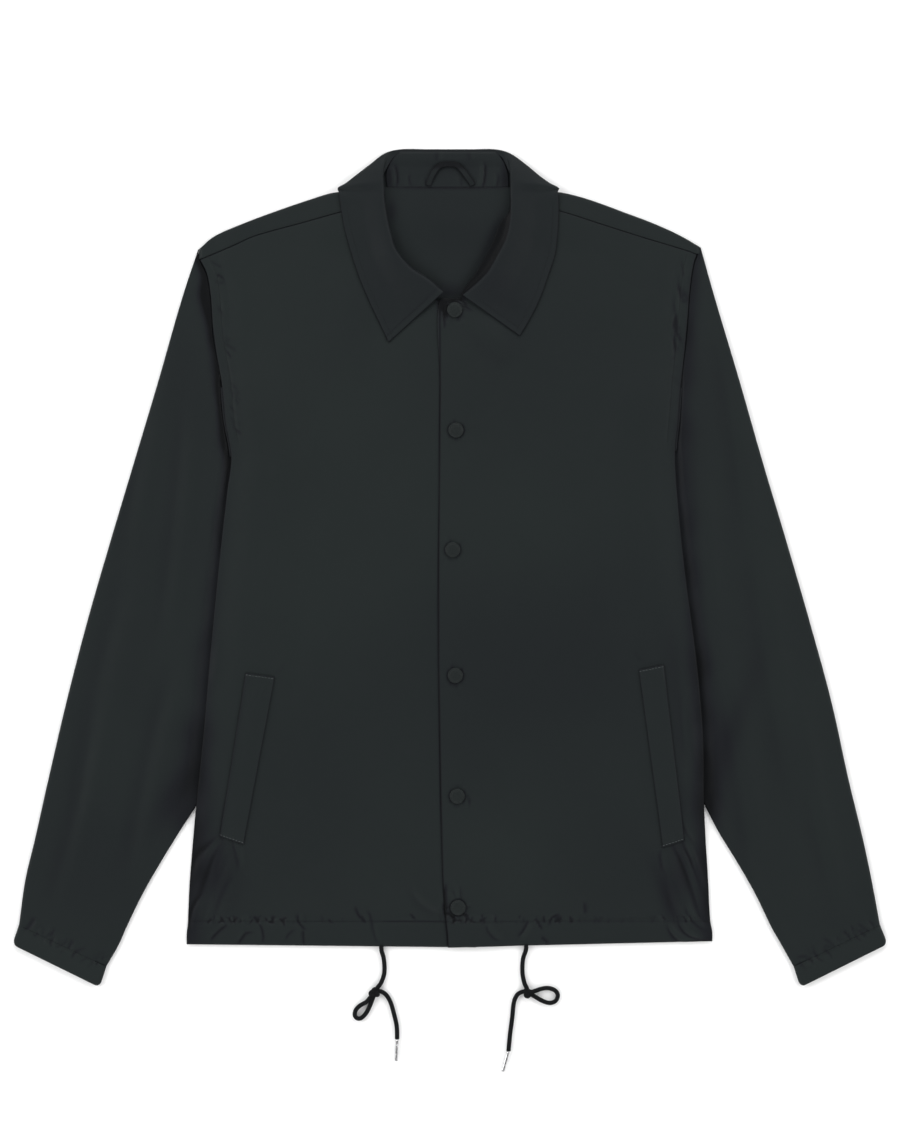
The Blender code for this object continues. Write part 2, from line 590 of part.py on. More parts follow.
def build_cuff(name, outer, inner, edge, material):
    """The casing at the end of a sleeve, with small gathers that run out towards the hand."""
    corner = 5.0
    seam = [Vector(outer[-1]), Vector(inner[-1])]
    hand = [Vector(edge[0]), Vector(edge[1])]
    down = (hand[0] - seam[0]).normalized() * CUT_GAP
    skins = []
    for inset in (0.0, CLOTH):
        rings = []
        for row, share in enumerate((0.0, 0.22, 0.75, 1.0)):
            start = (seam[0] + down).lerp(hand[0], share)
            end = (seam[1] + down).lerp(hand[1], share)
            pull = (end - start).normalized() * (corner * 0.5 if row == 3 else 0.0)
            start, end = start + pull, end - pull
            width = (end - start).length
            way = (end - start) / width
            strength = (0.9, 0.7, 0.1, 0.0)[row]
            half = 0.5 * (CUFF_HEIGHT - (1.2 if row == 3 else 0.0))
            steps = len(CUFF_GATHERS) + 1
            marks = [0.0, 1.0] + [2.7 + (width - 5.4) * step / steps for step in range(steps + 1)]
            marks += [width - 1.0, width]
            upper, lower = [], []
            for index, mark in enumerate(marks):
                spot = start + way * (inset + mark * (width - 2.0 * inset) / width)
                edge_share = min(mark, width - mark) / 2.7
                reach = math.sqrt(max(0.0, 1.0 - (1.0 - min(edge_share, 1.0)) ** 2))
                wave = strength * CUFF_GATHERS[index - 3] if 2 < index < len(marks) - 3 else 0.0
                upper.append((spot.x, spot.y, CUFF_HEIGHT * 0.5 + reach * (half - inset) + wave))
                lower.append((spot.x, spot.y, CUFF_HEIGHT * 0.5 - reach * (half - inset)
                              - (CUFF_HEIGHT * 0.5 - half) * reach))
            rings.append(upper + lower[-2:0:-1])
        skins.append(rings)
    return loft(name, skins[0] + skins[1][::-1], material, closed=True)


def collar_section(station):
    """Middle line of the collar's cloth from its neck edge over the roll to its free edge."""
    seam = Vector((station.seam_x, station.seam_y))
    roll = Vector((station.roll_x, station.roll_y))
    turn = Vector((station.turn_x, station.turn_y))
    edge = Vector((station.edge_x, station.edge_y))
    away = (turn - roll).normalized()
    half = 0.5 * COLLAR_CLOTH
    seam_z = station.seam_z
    if seam.x > 0.0 and not station.wrap:
        seam_z = max(seam_z, body_top(seam.x, seam.y) + SEAM_GAP + half + 0.15)
    roll_low = 0.55 * seam_z + 0.45 * station.roll_z
    bulge = min(2.4, 0.5 * (turn - roll).length)
    points = [(seam.x, seam.y, seam_z)]
    middle = seam.lerp(roll, 0.6)
    points.append((middle.x, middle.y, 0.75 * seam_z + 0.25 * roll_low))
    points.append((roll.x, roll.y, 0.5 * (roll_low + station.roll_z)))
    crest = roll + away * bulge
    points.append((crest.x, crest.y, station.roll_z))

    def on_top(spot, share):
        lies = body_top(spot.x, spot.y) + SEAM_GAP + half + 0.1
        return max(lies, lies + (station.roll_z - lies) * (1.0 - smooth_step(share * 1.6)))

    if station.wrap == 1:
        low, high = half, station.roll_z
        radius = min(0.5 * (high - low), 2.6)
        inward = (edge - turn).normalized()
        back_way = -away
        for share in (0.35, 0.75):
            spot = crest.lerp(turn + back_way * radius, share)
            points.append((spot.x, spot.y, high))
        spot = turn + back_way * radius * 0.3
        points.append((spot.x, spot.y, low + 1.55 * 0.5 * (high - low)))
        points.append((turn.x, turn.y, 0.5 * (low + high)))
        spot = turn + inward * radius * 0.3
        points.append((spot.x, spot.y, low + 0.35 * 0.5 * (high - low)))
        spot = turn + inward * radius
        points.append((spot.x, spot.y, low))
        spot = (turn + inward * radius).lerp(edge, 0.5)
        points.append((spot.x, spot.y, low))
        points.append((edge.x, edge.y, low))
        return points
    shares = (0.15, 0.32, 0.5, 0.66, 0.8, 0.9, 0.96, 1.0)
    if station.wrap:
        shares = (0.3, 0.66, 0.9, 0.94, 0.96, 0.975, 0.99, 1.0)
    for share in shares:
        spot = crest.lerp(edge, share)
        points.append((spot.x, spot.y, on_top(spot, share)))
    return points


def body_top(x, y):
    """Highest cloth of the fastened body, which the collar lies on."""
    if x < FRONT_EDGE[-1][0] - 4.0:
        return front_top(x, y)
    return left_front_top(x, y)


def build_collar(material):
    sections = [collar_section(station) for station in COLLAR]
    across, around = len(sections[0]) - 1, len(sections) - 1
    bm = bmesh.new()
    bmesh.ops.create_grid(bm, x_segments=across, y_segments=around, size=0.5)
    for vert in bm.verts:
        column, row = round((vert.co.x + 0.5) * across), round((vert.co.y + 0.5) * around)
        vert.co = sections[row][column]
    return add_piece("collar", bm, material, wall=COLLAR_CLOTH)


def build_stand(material):
    """The part of the collar that shows inside the back of the neck."""
    rungs = [Rung(-58.5, NECK_SEAM_Y, 54.5, NECK_SEAM_Y), Rung(-59.5, 372, 54.5, 372),
             Rung(-59.5, 380, 53.5, 380), Rung(-54.5, 388, 49.5, 388), Rung(-46, 394.8, 42, 394.8)]
    puckers = [Fold(-57, 368, -58, 384, 3, 0.8), Fold(-40, 367, -41, 380, 3, 0.6),
               Fold(31, 367, 30, 384, 3, 0.7), Fold(42, 367, 43, 380, 3, 0.5)]
    columns = 22

    def place(column, row):
        rung = rungs[row]
        start, end = Vector((rung.inner_x, rung.inner_y)), Vector((rung.outer_x, rung.outer_y))
        return start.lerp(end, column / columns)

    def under(x, y):
        return NECK_LIFT + relief(x, y, puckers)

    def top(x, y):
        return under(x, y) + CLOTH

    return slab("collar_stand", columns, len(rungs) - 1, place, top, under, material)


def build_hanger(material):
    columns, rows = 16, 2
    floor = NECK_LIFT + CLOTH + SEAM_GAP

    def place(column, row):
        share = column / columns
        spot = along(HANGER_ROUTE, share)
        ahead = along(HANGER_ROUTE, share + 0.02) - along(HANGER_ROUTE, share - 0.02)
        side = Vector((-ahead.y, ahead.x)).normalized()
        return spot + side * HANGER_WIDTH * (row / rows - 0.5)

    def under(x, y):
        return floor + 0.8 * smooth_step((y - 368.0) / 8.0)

    def top(x, y):
        return under(x, y) + CLOTH

    return slab("hanger_loop", columns, rows, place, top, under, material)


def build_welt(name, corners, top_height, material):
    """A pocket's welt, which lies on its front panel."""
    top_inner, top_outer, low_inner, low_outer = (Vector(corner) for corner in corners)
    columns, rows = 3, 10

    def place(column, row):
        start = low_inner.lerp(low_outer, column / columns)
        end = top_inner.lerp(top_outer, column / columns)
        return start.lerp(end, row / rows)

    def under(x, y):
        return top_height(x, y) + SEAM_GAP + 0.15

    def top(x, y):
        return under(x, y) + CLOTH

    return slab(name, columns, rows, place, top, under, material)


def build_stud(name, centre, material):
    """A press stud's round cap, turned, with a softened rim."""
    segments = 16
    highest = max(left_front_top(centre[0] + STUD_RADIUS * math.cos(turn),
                                 centre[1] + STUD_RADIUS * math.sin(turn))
                  for turn in (math.tau * step / 12 for step in range(12)))
    floor = max(highest, left_front_top(*centre)) + SEAM_GAP
    profile = [(STUD_RADIUS - 0.8, 0.0), (STUD_RADIUS, 0.6), (STUD_RADIUS, 1.3),
               (STUD_RADIUS - 0.7, STUD_HEIGHT - 0.2), (0.55 * STUD_RADIUS, STUD_HEIGHT)]
    rings = []
    for radius, height in profile:
        rings.append([(centre[0] + radius * math.cos(math.tau * step / segments),
                       centre[1] + radius * math.sin(math.tau * step / segments),
                       floor + height) for step in range(segments)])
    return loft(name, rings, material)


def build_tube(name, route, radius, height, material):
    """A stretch of cord or an aglet that lies on the surface."""
    length = sum((Vector(b) - Vector(a)).length for a, b in zip(route, route[1:]))
    steps = max(2, round(length / (2.6 * radius * 2.0)) * (1 if len(route) < 3 else 2))
    data = bpy.data.curves.new(name, "CURVE")
    data.dimensions = "3D"
    spline = data.splines.new("POLY")
    spline.points.add(steps)
    for index in range(steps + 1):
        spot = along(route, index / steps)
        spline.points[index].co = (spot.x * MM, spot.y * MM, height(index / steps) * MM, 1.0)
    data.bevel_depth = radius * MM
    data.bevel_resolution = 2
    data.use_fill_caps = True
    data.materials.append(material)
    obj = bpy.data.objects.new(name, data)
    bpy.context.scene.collection.objects.link(obj)
    return obj


def build_knot(name, centre, turn, material):
    """The overhand bow in a drawcord, as one rounded lump."""
    bm = bmesh.new()
    bmesh.ops.create_icosphere(bm, subdivisions=2, radius=KNOT_RADIUS)
    for vert in bm.verts:
        angle = math.atan2(vert.co.y, vert.co.x) - turn
        swell = 1.0 + 0.07 * math.cos(2.0 * angle)
        vert.co = (vert.co.x * swell, vert.co.y * swell, vert.co.z * 0.72)
    bmesh.ops.translate(bm, vec=(centre[0], centre[1], KNOT_RADIUS * 0.72 + 0.02), verts=bm.verts[:])
    return add_piece(name, bm, material)


def build_cord_end(side, lead, loop, tail, aglet, knot, turn, cord_material, metal):
    radius = 0.5 * CORD
    lie = radius + 0.05
    build_tube("drawcord_%s_lead" % side, lead, radius,
               lambda share: lie + 0.9 * (1.0 - smooth_step(share / 0.4)), cord_material)
    build_knot("knot_%s" % side, knot, turn, cord_material)
    build_tube("drawcord_%s_loop" % side, loop, radius, lambda share: lie, cord_material)
    build_tube("drawcord_%s_tail" % side, tail, radius, lambda share: lie, cord_material)
    build_tube("aglet_%s" % side, aglet, radius * 0.92, lambda share: lie, metal)


def main():
    clear_scene()
    nylon = make_material("nylon", (0.021, 0.027, 0.027), 0.62)
    tape = make_material("tape", (0.012, 0.013, 0.016), 0.8)
    stud = make_material("stud", (0.03, 0.036, 0.036), 0.42)
    cord = make_material("cord", (0.012, 0.012, 0.014), 0.85)
    metal = make_material("metal", (0.62, 0.62, 0.64), 0.25, 1.0)

    build_back(nylon)

    under_edge = [(x + OVERLAP - 4.0, y) for x, y in FRONT_EDGE]
    rows = [0, 1, 1.7, 2.15, 2.6, 3, 3.5, 4, 4.5, 5, 6, 7, 8, 8.6, 9, 9.5, 10, 11, 12, 13, 14, 15, 16]
    build_front("front_right", front_ladder(RIGHT_SIDE, under_edge, RIGHT_NECK),
                RIGHT_SHOULDER_SEAM[::-1], rows, 22, front_top, front_under, nylon)
    build_front("front_left", front_ladder(LEFT_SIDE, FRONT_EDGE, LEFT_NECK),
                LEFT_SHOULDER_SEAM, rows, 22, left_front_top, left_front_under, nylon)

    build_sleeve("sleeve_right", -1, RIGHT_SLEEVE_OUTER, RIGHT_SLEEVE_INNER, RIGHT_SIDE, nylon)
    build_sleeve("sleeve_left", 1, LEFT_SLEEVE_OUTER, LEFT_SLEEVE_INNER, LEFT_SIDE, nylon)
    build_cuff("cuff_right", RIGHT_SLEEVE_OUTER, RIGHT_SLEEVE_INNER, RIGHT_CUFF_EDGE, nylon)
    build_cuff("cuff_left", LEFT_SLEEVE_OUTER, LEFT_SLEEVE_INNER, LEFT_CUFF_EDGE, nylon)

    build_collar(nylon)
    build_stand(nylon)
    build_hanger(tape)
    build_welt("pocket_welt_right", RIGHT_WELT, front_top, nylon)
    build_welt("pocket_welt_left", LEFT_WELT, left_front_top, nylon)
    for number, centre in enumerate(STUDS, start=1):
        build_stud("stud_%d" % number, centre, stud)

    build_cord_end("right", RIGHT_LEAD, RIGHT_LOOP, RIGHT_TAIL, RIGHT_AGLET,
                   (-72.6, -408.3), 0.9, cord, metal)
    build_cord_end("left", LEFT_LEAD, LEFT_LOOP, LEFT_TAIL, LEFT_AGLET,
                   (75.0, -408.6), 0.2, cord, metal)


main()
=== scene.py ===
# %% [markdown]
# # A coach jacket, fastened and laid flat
#
# The jacket is light woven nylon: almost black, a little green, with a dull sheen. The packed
# solids already say where every piece of cloth lies. This lesson puts a fine surface on each of
# them: creases, puckers along the stitching, thread, weave, studs and a braided drawcord.
#
# All tables are in millimetres, because a garment is measured so, and one factor turns them
# into Blender's metres when a mesh is made.

# %% Tools and the fixed frame
import math
from collections import namedtuple

import bmesh
import bpy
import numpy as np
from mathutils import Matrix, Vector


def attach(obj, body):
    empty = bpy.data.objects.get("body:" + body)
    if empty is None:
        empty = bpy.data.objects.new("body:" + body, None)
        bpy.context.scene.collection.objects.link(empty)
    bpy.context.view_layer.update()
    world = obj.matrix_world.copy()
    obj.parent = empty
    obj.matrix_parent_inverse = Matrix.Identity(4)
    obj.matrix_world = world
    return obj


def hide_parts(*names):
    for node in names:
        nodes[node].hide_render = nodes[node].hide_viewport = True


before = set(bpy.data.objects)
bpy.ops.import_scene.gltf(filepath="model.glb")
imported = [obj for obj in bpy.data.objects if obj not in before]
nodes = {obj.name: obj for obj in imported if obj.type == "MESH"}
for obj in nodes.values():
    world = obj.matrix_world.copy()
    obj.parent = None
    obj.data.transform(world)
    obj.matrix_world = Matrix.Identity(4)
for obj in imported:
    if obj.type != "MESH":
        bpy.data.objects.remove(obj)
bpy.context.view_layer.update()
MM = 0.001
print("solids:", len(nodes))


# %% Small helpers
def table(kind, rows):
    return [kind(*row) for row in rows]


def feed(tree, node, values):
    """Sets the inputs of a node: each value is a constant, or the socket that feeds it."""
    for name, value in values.items():
        if isinstance(value, bpy.types.NodeSocket):
            tree.links.new(value, node.inputs[name])
        else:
            node.inputs[name].default_value = value


def new_material(name):
    material = bpy.data.materials.new(name)
    material.use_nodes = True
    return material, material.node_tree, material.node_tree.nodes["Principled BSDF"]


def show(name, data):
    """Puts a camera, a lamp or a mesh into the scene as an object."""
    found = bpy.data.objects.new(name, data)
    bpy.context.scene.collection.objects.link(found)
    return found


# %% [markdown]
# ## Camera, floor and light
#
# The photograph looks straight down from far away, so a long lens three metres above the cloth
# gives the same flat outline. One pixel of the photograph covers 0.96 mm of cloth. The floor is
# nearly white. The light is soft and comes from all sides at a slant, because dark nylon mirrors
# whatever is straight above it.

# %% Camera over the middle of the photograph
MM_PER_PIXEL = 0.96
PHOTO_HEIGHT = 1125
LENS = 100.0
SENSOR = 36.0
CLOTH_LEVEL = 0.005
ORIGIN_PIXEL_Y = 567.5

view_height = PHOTO_HEIGHT * MM_PER_PIXEL * MM
camera_data = bpy.data.cameras.new("camera")
camera_data.sensor_fit = "VERTICAL"
camera_data.sensor_height = SENSOR
camera_data.lens = LENS
camera = show("camera", camera_data)
camera.location = (0.0, (ORIGIN_PIXEL_Y - 0.5 * PHOTO_HEIGHT) * MM_PER_PIXEL * MM,
                   CLOTH_LEVEL + view_height * LENS / SENSOR)
bpy.context.scene.camera = camera
bpy.context.scene.view_settings.view_transform = "Standard"
print("camera height: %.3f m" % camera.location.z)


# %% Floor
def make_floor():
    bm = bmesh.new()
    bmesh.ops.create_grid(bm, x_segments=1, y_segments=1, size=6.0)
    mesh = bpy.data.meshes.new("floor")
    bm.to_mesh(mesh)
    bm.free()
    mesh.transform(Matrix.Translation((0.0, 0.0, -0.0006)))
    material, tree, shader = new_material("floor")
    feed(tree, shader, {"Base Color": (0.9, 0.9, 0.9, 1.0), "Roughness": 0.9, "Specular IOR Level": 0.1})
    mesh.materials.append(material)
    show("floor", mesh)


make_floor()

# %% Light
Lamp = namedtuple("Lamp", "name x y z size power")
LAMPS = table(Lamp, [
    ("light_left", -2.6, 0.5, 2.0, 2.2, 68), ("light_right", 2.6, 0.3, 2.0, 2.2, 54),
    ("light_top", 0.2, 2.8, 2.0, 2.2, 66), ("light_hem", -0.2, -2.8, 2.0, 2.2, 52),
])
AMBIENT = 0.5
OVERHEAD = 0.14

for lamp in LAMPS:
    light = bpy.data.lights.new(lamp.name, "AREA")
    light.shape = "SQUARE"
    light.size = lamp.size
    light.energy = lamp.power
    holder = show(lamp.name, light)
    holder.location = (lamp.x, lamp.y, lamp.z)
    holder.rotation_euler = (-holder.location).to_track_quat("-Z", "Y").to_euler()


def make_sky():
    """Bright round the horizon and dim overhead, where the flat cloth would mirror it."""
    world = bpy.data.worlds.new("studio")
    world.use_nodes = True
    tree = world.node_tree
    split = tree.nodes.new("ShaderNodeSeparateXYZ")
    feed(tree, split, {0: tree.nodes.new("ShaderNodeTexCoord").outputs["Generated"]})
    fade = tree.nodes.new("ShaderNodeMapRange")
    fade.interpolation_type = "SMOOTHSTEP"
    feed(tree, fade, {"From Min": 0.45, "From Max": 0.95, "To Min": AMBIENT, "To Max": OVERHEAD,
                      "Value": split.outputs["Z"]})
    feed(tree, tree.nodes["Background"], {"Color": (1.0, 1.0, 1.0, 1.0), "Strength": fade.outputs["Result"]})
    bpy.context.scene.world = world


make_sky()

# %% [markdown]
# ## Curves and rounded edges
#
# A pattern cutter draws an outline through a few points. These helpers do the same: they run a
# smooth curve through the points of a table, and they divide a length so that there are narrow
# steps beside an edge, where the cloth turns round, and wide ones between.


# %% Smooth curves through points
def smooth_step(value):
    value = np.clip(value, 0.0, 1.0)
    return value * value * (3.0 - 2.0 * value)


def curve(points, places):
    """Points on a smooth curve through the rows of an array, at places counted in rows."""
    points = np.asarray(points, float)
    last = len(points) - 1
    places = np.clip(np.asarray(places, float), 0.0, last)
    index = np.minimum(places.astype(int), last - 1)
    here, after = points[index], points[index + 1]
    before, beyond = points[np.maximum(index - 1, 0)], points[np.minimum(index + 2, last)]

    def fit(values):
        return values.reshape(index.shape + (1,) * (points.ndim - 1))

    def size(step):
        return np.maximum(np.linalg.norm(step, axis=-1, keepdims=True), 1e-6)

    span = size(after - here)
    leave = (after - before) * span / (span + np.where(fit(index == 0), 0.0, size(here - before)))
    arrive = (beyond - here) * span / (span + np.where(fit(index == last - 1), 0.0, size(beyond - after)))
    part = fit(places - index)
    square, cube = part * part, part ** 3
    return (here * (2 * cube - 3 * square + 1) + leave * (cube - 2 * square + part)
            + after * (3 * square - 2 * cube) + arrive * (cube - square))


def lengths(points):
    """Distance travelled along the rows of an array, averaged over its other directions."""
    steps = np.linalg.norm(np.diff(np.asarray(points, float), axis=0), axis=-1)
    steps = steps.reshape(len(steps), -1).mean(axis=1)
    return np.concatenate([[0.0], np.cumsum(steps)])


def along(points, shares):
    """Points at shares of the length of the smooth curve through the points."""
    run = lengths(points)
    return curve(points, np.interp(np.clip(shares, 0.0, 1.0) * run[-1], run, np.arange(len(run))))


def stops(length, bands, edge=(0.12, 0.45, 1.0, 1.8)):
    """Distances from 0 to length: narrow steps at both edges, and the step of each band between.

    bands is a list of (distance, step): the step holds up to that distance.
    """
    found = [0.0, *edge]
    while found[-1] < length:
        step = next((size for limit, size in bands if found[-1] < limit), bands[-1][1])
        found.append(found[-1] + step)
    found = [distance for distance in found if distance < length - edge[-1] * 1.5]
    return np.array(found + [length - distance for distance in reversed((0.0, *edge))])


def places_for(points, bands):
    """The places in rows of an array that lie at the stops of its length."""
    run = lengths(points)
    return np.interp(stops(run[-1], bands), run, np.arange(len(run)))


def running(points, axis):
    """Distance travelled along one axis of a grid of points, at each of them."""
    run = np.cumsum(np.linalg.norm(np.diff(points, axis=axis), axis=-1), axis=axis)
    return np.concatenate([np.zeros_like(run.take([0], axis)), run], axis=axis)


def edge_distance(points):
    """Distance in from each of the four edges of a grid of points, and the least of them."""
    down, across = running(points, 0), running(points, 1)
    sides = {"first": down, "last": down[-1:] - down, "start": across, "end": across[:, -1:] - across}
    return sides, np.minimum.reduce(list(sides.values()))


def unit(vectors):
    return vectors / np.linalg.norm(vectors, axis=-1, keepdims=True)


def sideways(line):
    """Direction square to a line of the plan, at each of its points."""
    ahead = np.gradient(line, axis=0)
    return unit(np.column_stack([-ahead[:, 1], ahead[:, 0]]))


def between(start, end, shares):
    """Points at shares of the way from a point, or a row of points, to another."""
    return start[..., None, :] + (end - start)[..., None, :] * shares[:, None]


def rounded(distance, radius):
    """1 inside an edge, falling along a quarter circle to 0 at it."""
    share = np.clip(distance / radius, 0.0, 1.0)
    return np.sqrt(np.maximum(1.0 - (1.0 - share) ** 2, 0.0))


# %% [markdown]
# ## Creases
#
# A crease is a soft ridge with a shallow trough beside it. Each one has its own place, bend,
# width and height, set from what the cloth shows. The short puckers that stitching draws up are
# too many to list one by one, so a seeded loop lays them out along a seam, uneven in spacing,
# length and height.

# %% Ridges and puckers
Crease = namedtuple("Crease", "start_x start_y end_x end_y bend width height")


def ridges(x, y, creases):
    """Height that the creases add at each point."""
    total = np.zeros_like(x)
    for crease in creases:
        run_x, run_y = crease.end_x - crease.start_x, crease.end_y - crease.start_y
        length = math.hypot(run_x, run_y)
        near = np.ones(x.shape, bool)
        for values, ends in ((x, (crease.start_x, crease.end_x)), (y, (crease.start_y, crease.end_y))):
            near &= (values > min(ends) - length - 30.0) & (values < max(ends) + length + 30.0)
        step_x, step_y = x[near] - crease.start_x, y[near] - crease.start_y
        place = (step_x * run_x + step_y * run_y) / length ** 2
        away = (step_x * run_y - step_y * run_x) / length
        away = away - crease.bend * 4.0 * place * (1.0 - place)
        fade = smooth_step((place + 0.2) / 0.45) * smooth_step((1.2 - place) / 0.45)
        shape = np.exp(-(away / crease.width) ** 2)
        shape -= 0.45 * np.exp(-((away - 1.7 * crease.width) / crease.width) ** 2)
        total[near] += crease.height * fade * shape
    return total


def painted_fold_shading(relief, strength=0.8):
    """Painted shade down in a trough, and a little painted light along a ridge."""
    return strength * (np.clip(-relief / 0.35, 0.0, 1.0) - 0.2 * np.clip(relief / 0.6, 0.0, 1.0))


def puckers(path, count, seed, reach, height, lean=0.0, width=1.6):
    """Short creases that cross a line of stitching, most of their length on its inner side."""
    draw = np.random.default_rng(seed)
    path = np.asarray(path, float)
    shares = np.sort(draw.uniform(0.02, 0.98, count))
    spots = along(path, shares)
    ahead = along(path, shares + 0.01) - along(path, shares - 0.01)
    found = []
    for spot, way in zip(spots, ahead):
        way = way / np.linalg.norm(way)
        side = np.array([-way[1], way[0]])
        turn = lean + draw.normal(0.0, 0.28)
        direction = side * math.cos(turn) + way * math.sin(turn)
        inner, outer = reach * draw.uniform(0.45, 1.1), reach * draw.uniform(0.1, 0.4)
        start, end = spot - direction * outer, spot + direction * inner
        found.append(Crease(*start, *end, draw.normal(0.0, 0.8), width * draw.uniform(0.8, 1.5),
                            height * draw.uniform(0.35, 1.1) * draw.choice([1.0, -1.0])))
    return found


# %% [markdown]
# ## Finishes
#
# Nylon taffeta is a plain weave of fine flat yarn. Up close it shows as a grid of tiny bumps, and
# from a step away only as a dull sheen with faint cloudy patches. The weave runs on the cloth's own
# UV map, which is in metres, so it follows each piece. The attribute called shade holds painted
# shade and painted light: where it is high the cloth is darker and less green, as down in a fold,
# in a seam's gap or beside an edge, and where it is below zero the cloth is a little lighter.


# %% Node helpers
def math_node(tree, operation, first, second=None):
    node = tree.nodes.new("ShaderNodeMath")
    node.operation = operation
    feed(tree, node, {0: first} if second is None else {0: first, 1: second})
    return node.outputs[0]


def noise(tree, vector, scale, detail, roughness=0.5):
    node = tree.nodes.new("ShaderNodeTexNoise")
    feed(tree, node, {"Scale": scale, "Detail": detail, "Roughness": roughness, "Vector": vector})
    return node.outputs["Fac"]


def ramp(tree, value, places, colours):
    node = tree.nodes.new("ShaderNodeValToRGB")
    elements = node.color_ramp.elements
    while len(elements) < len(places):
        elements.new(0.5)
    for element, place, colour in zip(elements, places, colours):
        element.position = place
        element.color = (*colour, 1.0)
    feed(tree, node, {"Fac": value})
    return node.outputs["Color"]


def weave_height(tree, pitch_u, pitch_v):
    """Height of a plain weave on the piece's UV map."""
    uv = tree.nodes.new("ShaderNodeUVMap")
    uv.uv_map = "cloth"
    split = tree.nodes.new("ShaderNodeSeparateXYZ")
    feed(tree, split, {0: uv.outputs["UV"]})
    waves = [math_node(tree, "SINE", math_node(tree, "MULTIPLY", split.outputs[axis], math.pi / pitch))
             for axis, pitch in (("X", pitch_u), ("Y", pitch_v))]
    return math_node(tree, "MULTIPLY", *waves)


def bump(tree, height, strength, distance, under=None):
    node = tree.nodes.new("ShaderNodeBump")
    feed(tree, node, {"Strength": strength, "Distance": distance, "Height": height})
    if under is not None:
        feed(tree, node, {"Normal": under})
    return node.outputs["Normal"]

# %% Nylon
# Colours of the cloth: open cloth, then darker and bluer painted shade, down to the deepest painted shadow,
# as in a seam's gap.
OPEN_TO_DEEP_SHADE = ((0.0111, 0.0147, 0.0147), (0.0093, 0.0120, 0.0127), (0.0064, 0.0074, 0.0094),
                (0.0012, 0.0016, 0.0022))


def make_nylon(name, share=1.0):
    """The jacket's cloth, or a darker piece of it."""
    material, tree, shader = new_material(name)
    place = tree.nodes.new("ShaderNodeTexCoord").outputs["Object"]
    shade = tree.nodes.new("ShaderNodeAttribute")
    shade.attribute_name = "shade"
    clouds = noise(tree, place, 5.0, 3.0)
    fine = noise(tree, place, 60.0, 4.0)
    # Cloudy noise and the painted shade and light of the shade attribute together pick the colour on the
    # ramp.
    level = math_node(tree, "MULTIPLY", clouds, 0.5)
    level = math_node(tree, "ADD", level, math_node(tree, "MULTIPLY", fine, 0.12))
    level = math_node(tree, "ADD", level, shade.outputs["Fac"])
    level = math_node(tree, "MULTIPLY", level, 0.5)
    colours = [[share * part for part in colour] for colour in OPEN_TO_DEEP_SHADE]
    colour = ramp(tree, level, (0.06, 0.21, 0.45, 0.95), colours)
    rumple = noise(tree, place, 90.0, 5.0, 0.6)
    normal = bump(tree, noise(tree, place, 16.0, 3.0), 0.25, 0.004)
    normal = bump(tree, rumple, 0.16, 0.0010, normal)
    normal = bump(tree, weave_height(tree, 0.00042, 0.00036), 0.25, 0.00005, normal)
    spread = math_node(tree, "ADD", math_node(tree, "MULTIPLY", fine, 0.14), 0.46)
    feed(tree, shader, {"Base Color": colour, "Normal": normal, "Roughness": spread,
                        "Specular IOR Level": 0.10, "Sheen Weight": 0.02, "Sheen Roughness": 0.4})
    return material


nylon = make_nylon("nylon")


# %% Thread, tape, stud, cord and metal
def make_plain(name, colour, roughness, grain, depth, metallic=0.0, specular=0.4):
    """A finish with a fine grain in its colour, roughness and height."""
    material, tree, shader = new_material(name)
    speck = noise(tree, tree.nodes.new("ShaderNodeTexCoord").outputs["Object"], grain, 3.0)
    darker_and_lighter = [[channel * share for channel in colour] for share in (0.8, 1.15)]
    spread = math_node(tree, "MULTIPLY", speck, 0.16)
    feed(tree, shader, {
        "Base Color": ramp(tree, speck, (0.3, 0.7), darker_and_lighter),
        "Roughness": math_node(tree, "ADD", spread, roughness - 0.08),
        "Normal": bump(tree, speck, 0.3, depth),
        "Metallic": metallic,
        "Specular IOR Level": specular,
    })
    return material


def make_cord_yarn():
    """Yarn that crosses on the cord's own UV map."""
    material = make_plain("cord_yarn", (0.0088, 0.0094, 0.0100), 0.9, 900.0, 0.0001, specular=0.05)
    tree = material.node_tree
    shader = tree.nodes["Principled BSDF"]
    grain = shader.inputs["Normal"].links[0].from_socket
    feed(tree, shader, {"Normal": bump(tree, weave_height(tree, 0.0011, 0.0014), 0.8, 0.0004, grain)})
    return material


thread = make_plain("thread", (0.0078, 0.0096, 0.0100), 0.7, 1500.0, 0.00005, specular=0.15)
pale_thread = make_plain("pale_thread", (0.085, 0.095, 0.095), 0.6, 1500.0, 0.00005, specular=0.2)
tape = make_nylon("tape", 0.85)
stud_paint = make_plain("stud_paint", (0.0096, 0.0124, 0.0124), 0.5, 700.0, 0.00003, specular=0.14)
cord_yarn = make_cord_yarn()
metal = make_plain("metal", (0.62, 0.62, 0.63), 0.26, 260.0, 0.00003, 1.0, 0.5)
print("finishes:", [material.name for material in bpy.data.materials])

# %% [markdown]
# ## Making a mesh
#
# A long piece, such as a cord or a sleeve, is a row of rings. Blender extrudes the first ring along
# and each copy is moved to its own points.

# %% Rings and finished meshes
pieces, laid = {}, {}


def finish_mesh(name, bm, material, node_names=()):
    """Makes the object from a bmesh in millimetres and ties it to the jacket's body."""
    bmesh.ops.scale(bm, vec=(MM, MM, MM), verts=bm.verts[:])
    mesh = bpy.data.meshes.new(name)
    bm.to_mesh(mesh)
    bm.free()
    mesh.shade_smooth()
    mesh.materials.append(material)
    piece = show(name, mesh)
    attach(piece, "root")
    if node_names:
        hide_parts(*node_names)
    pieces[name] = piece
    return piece


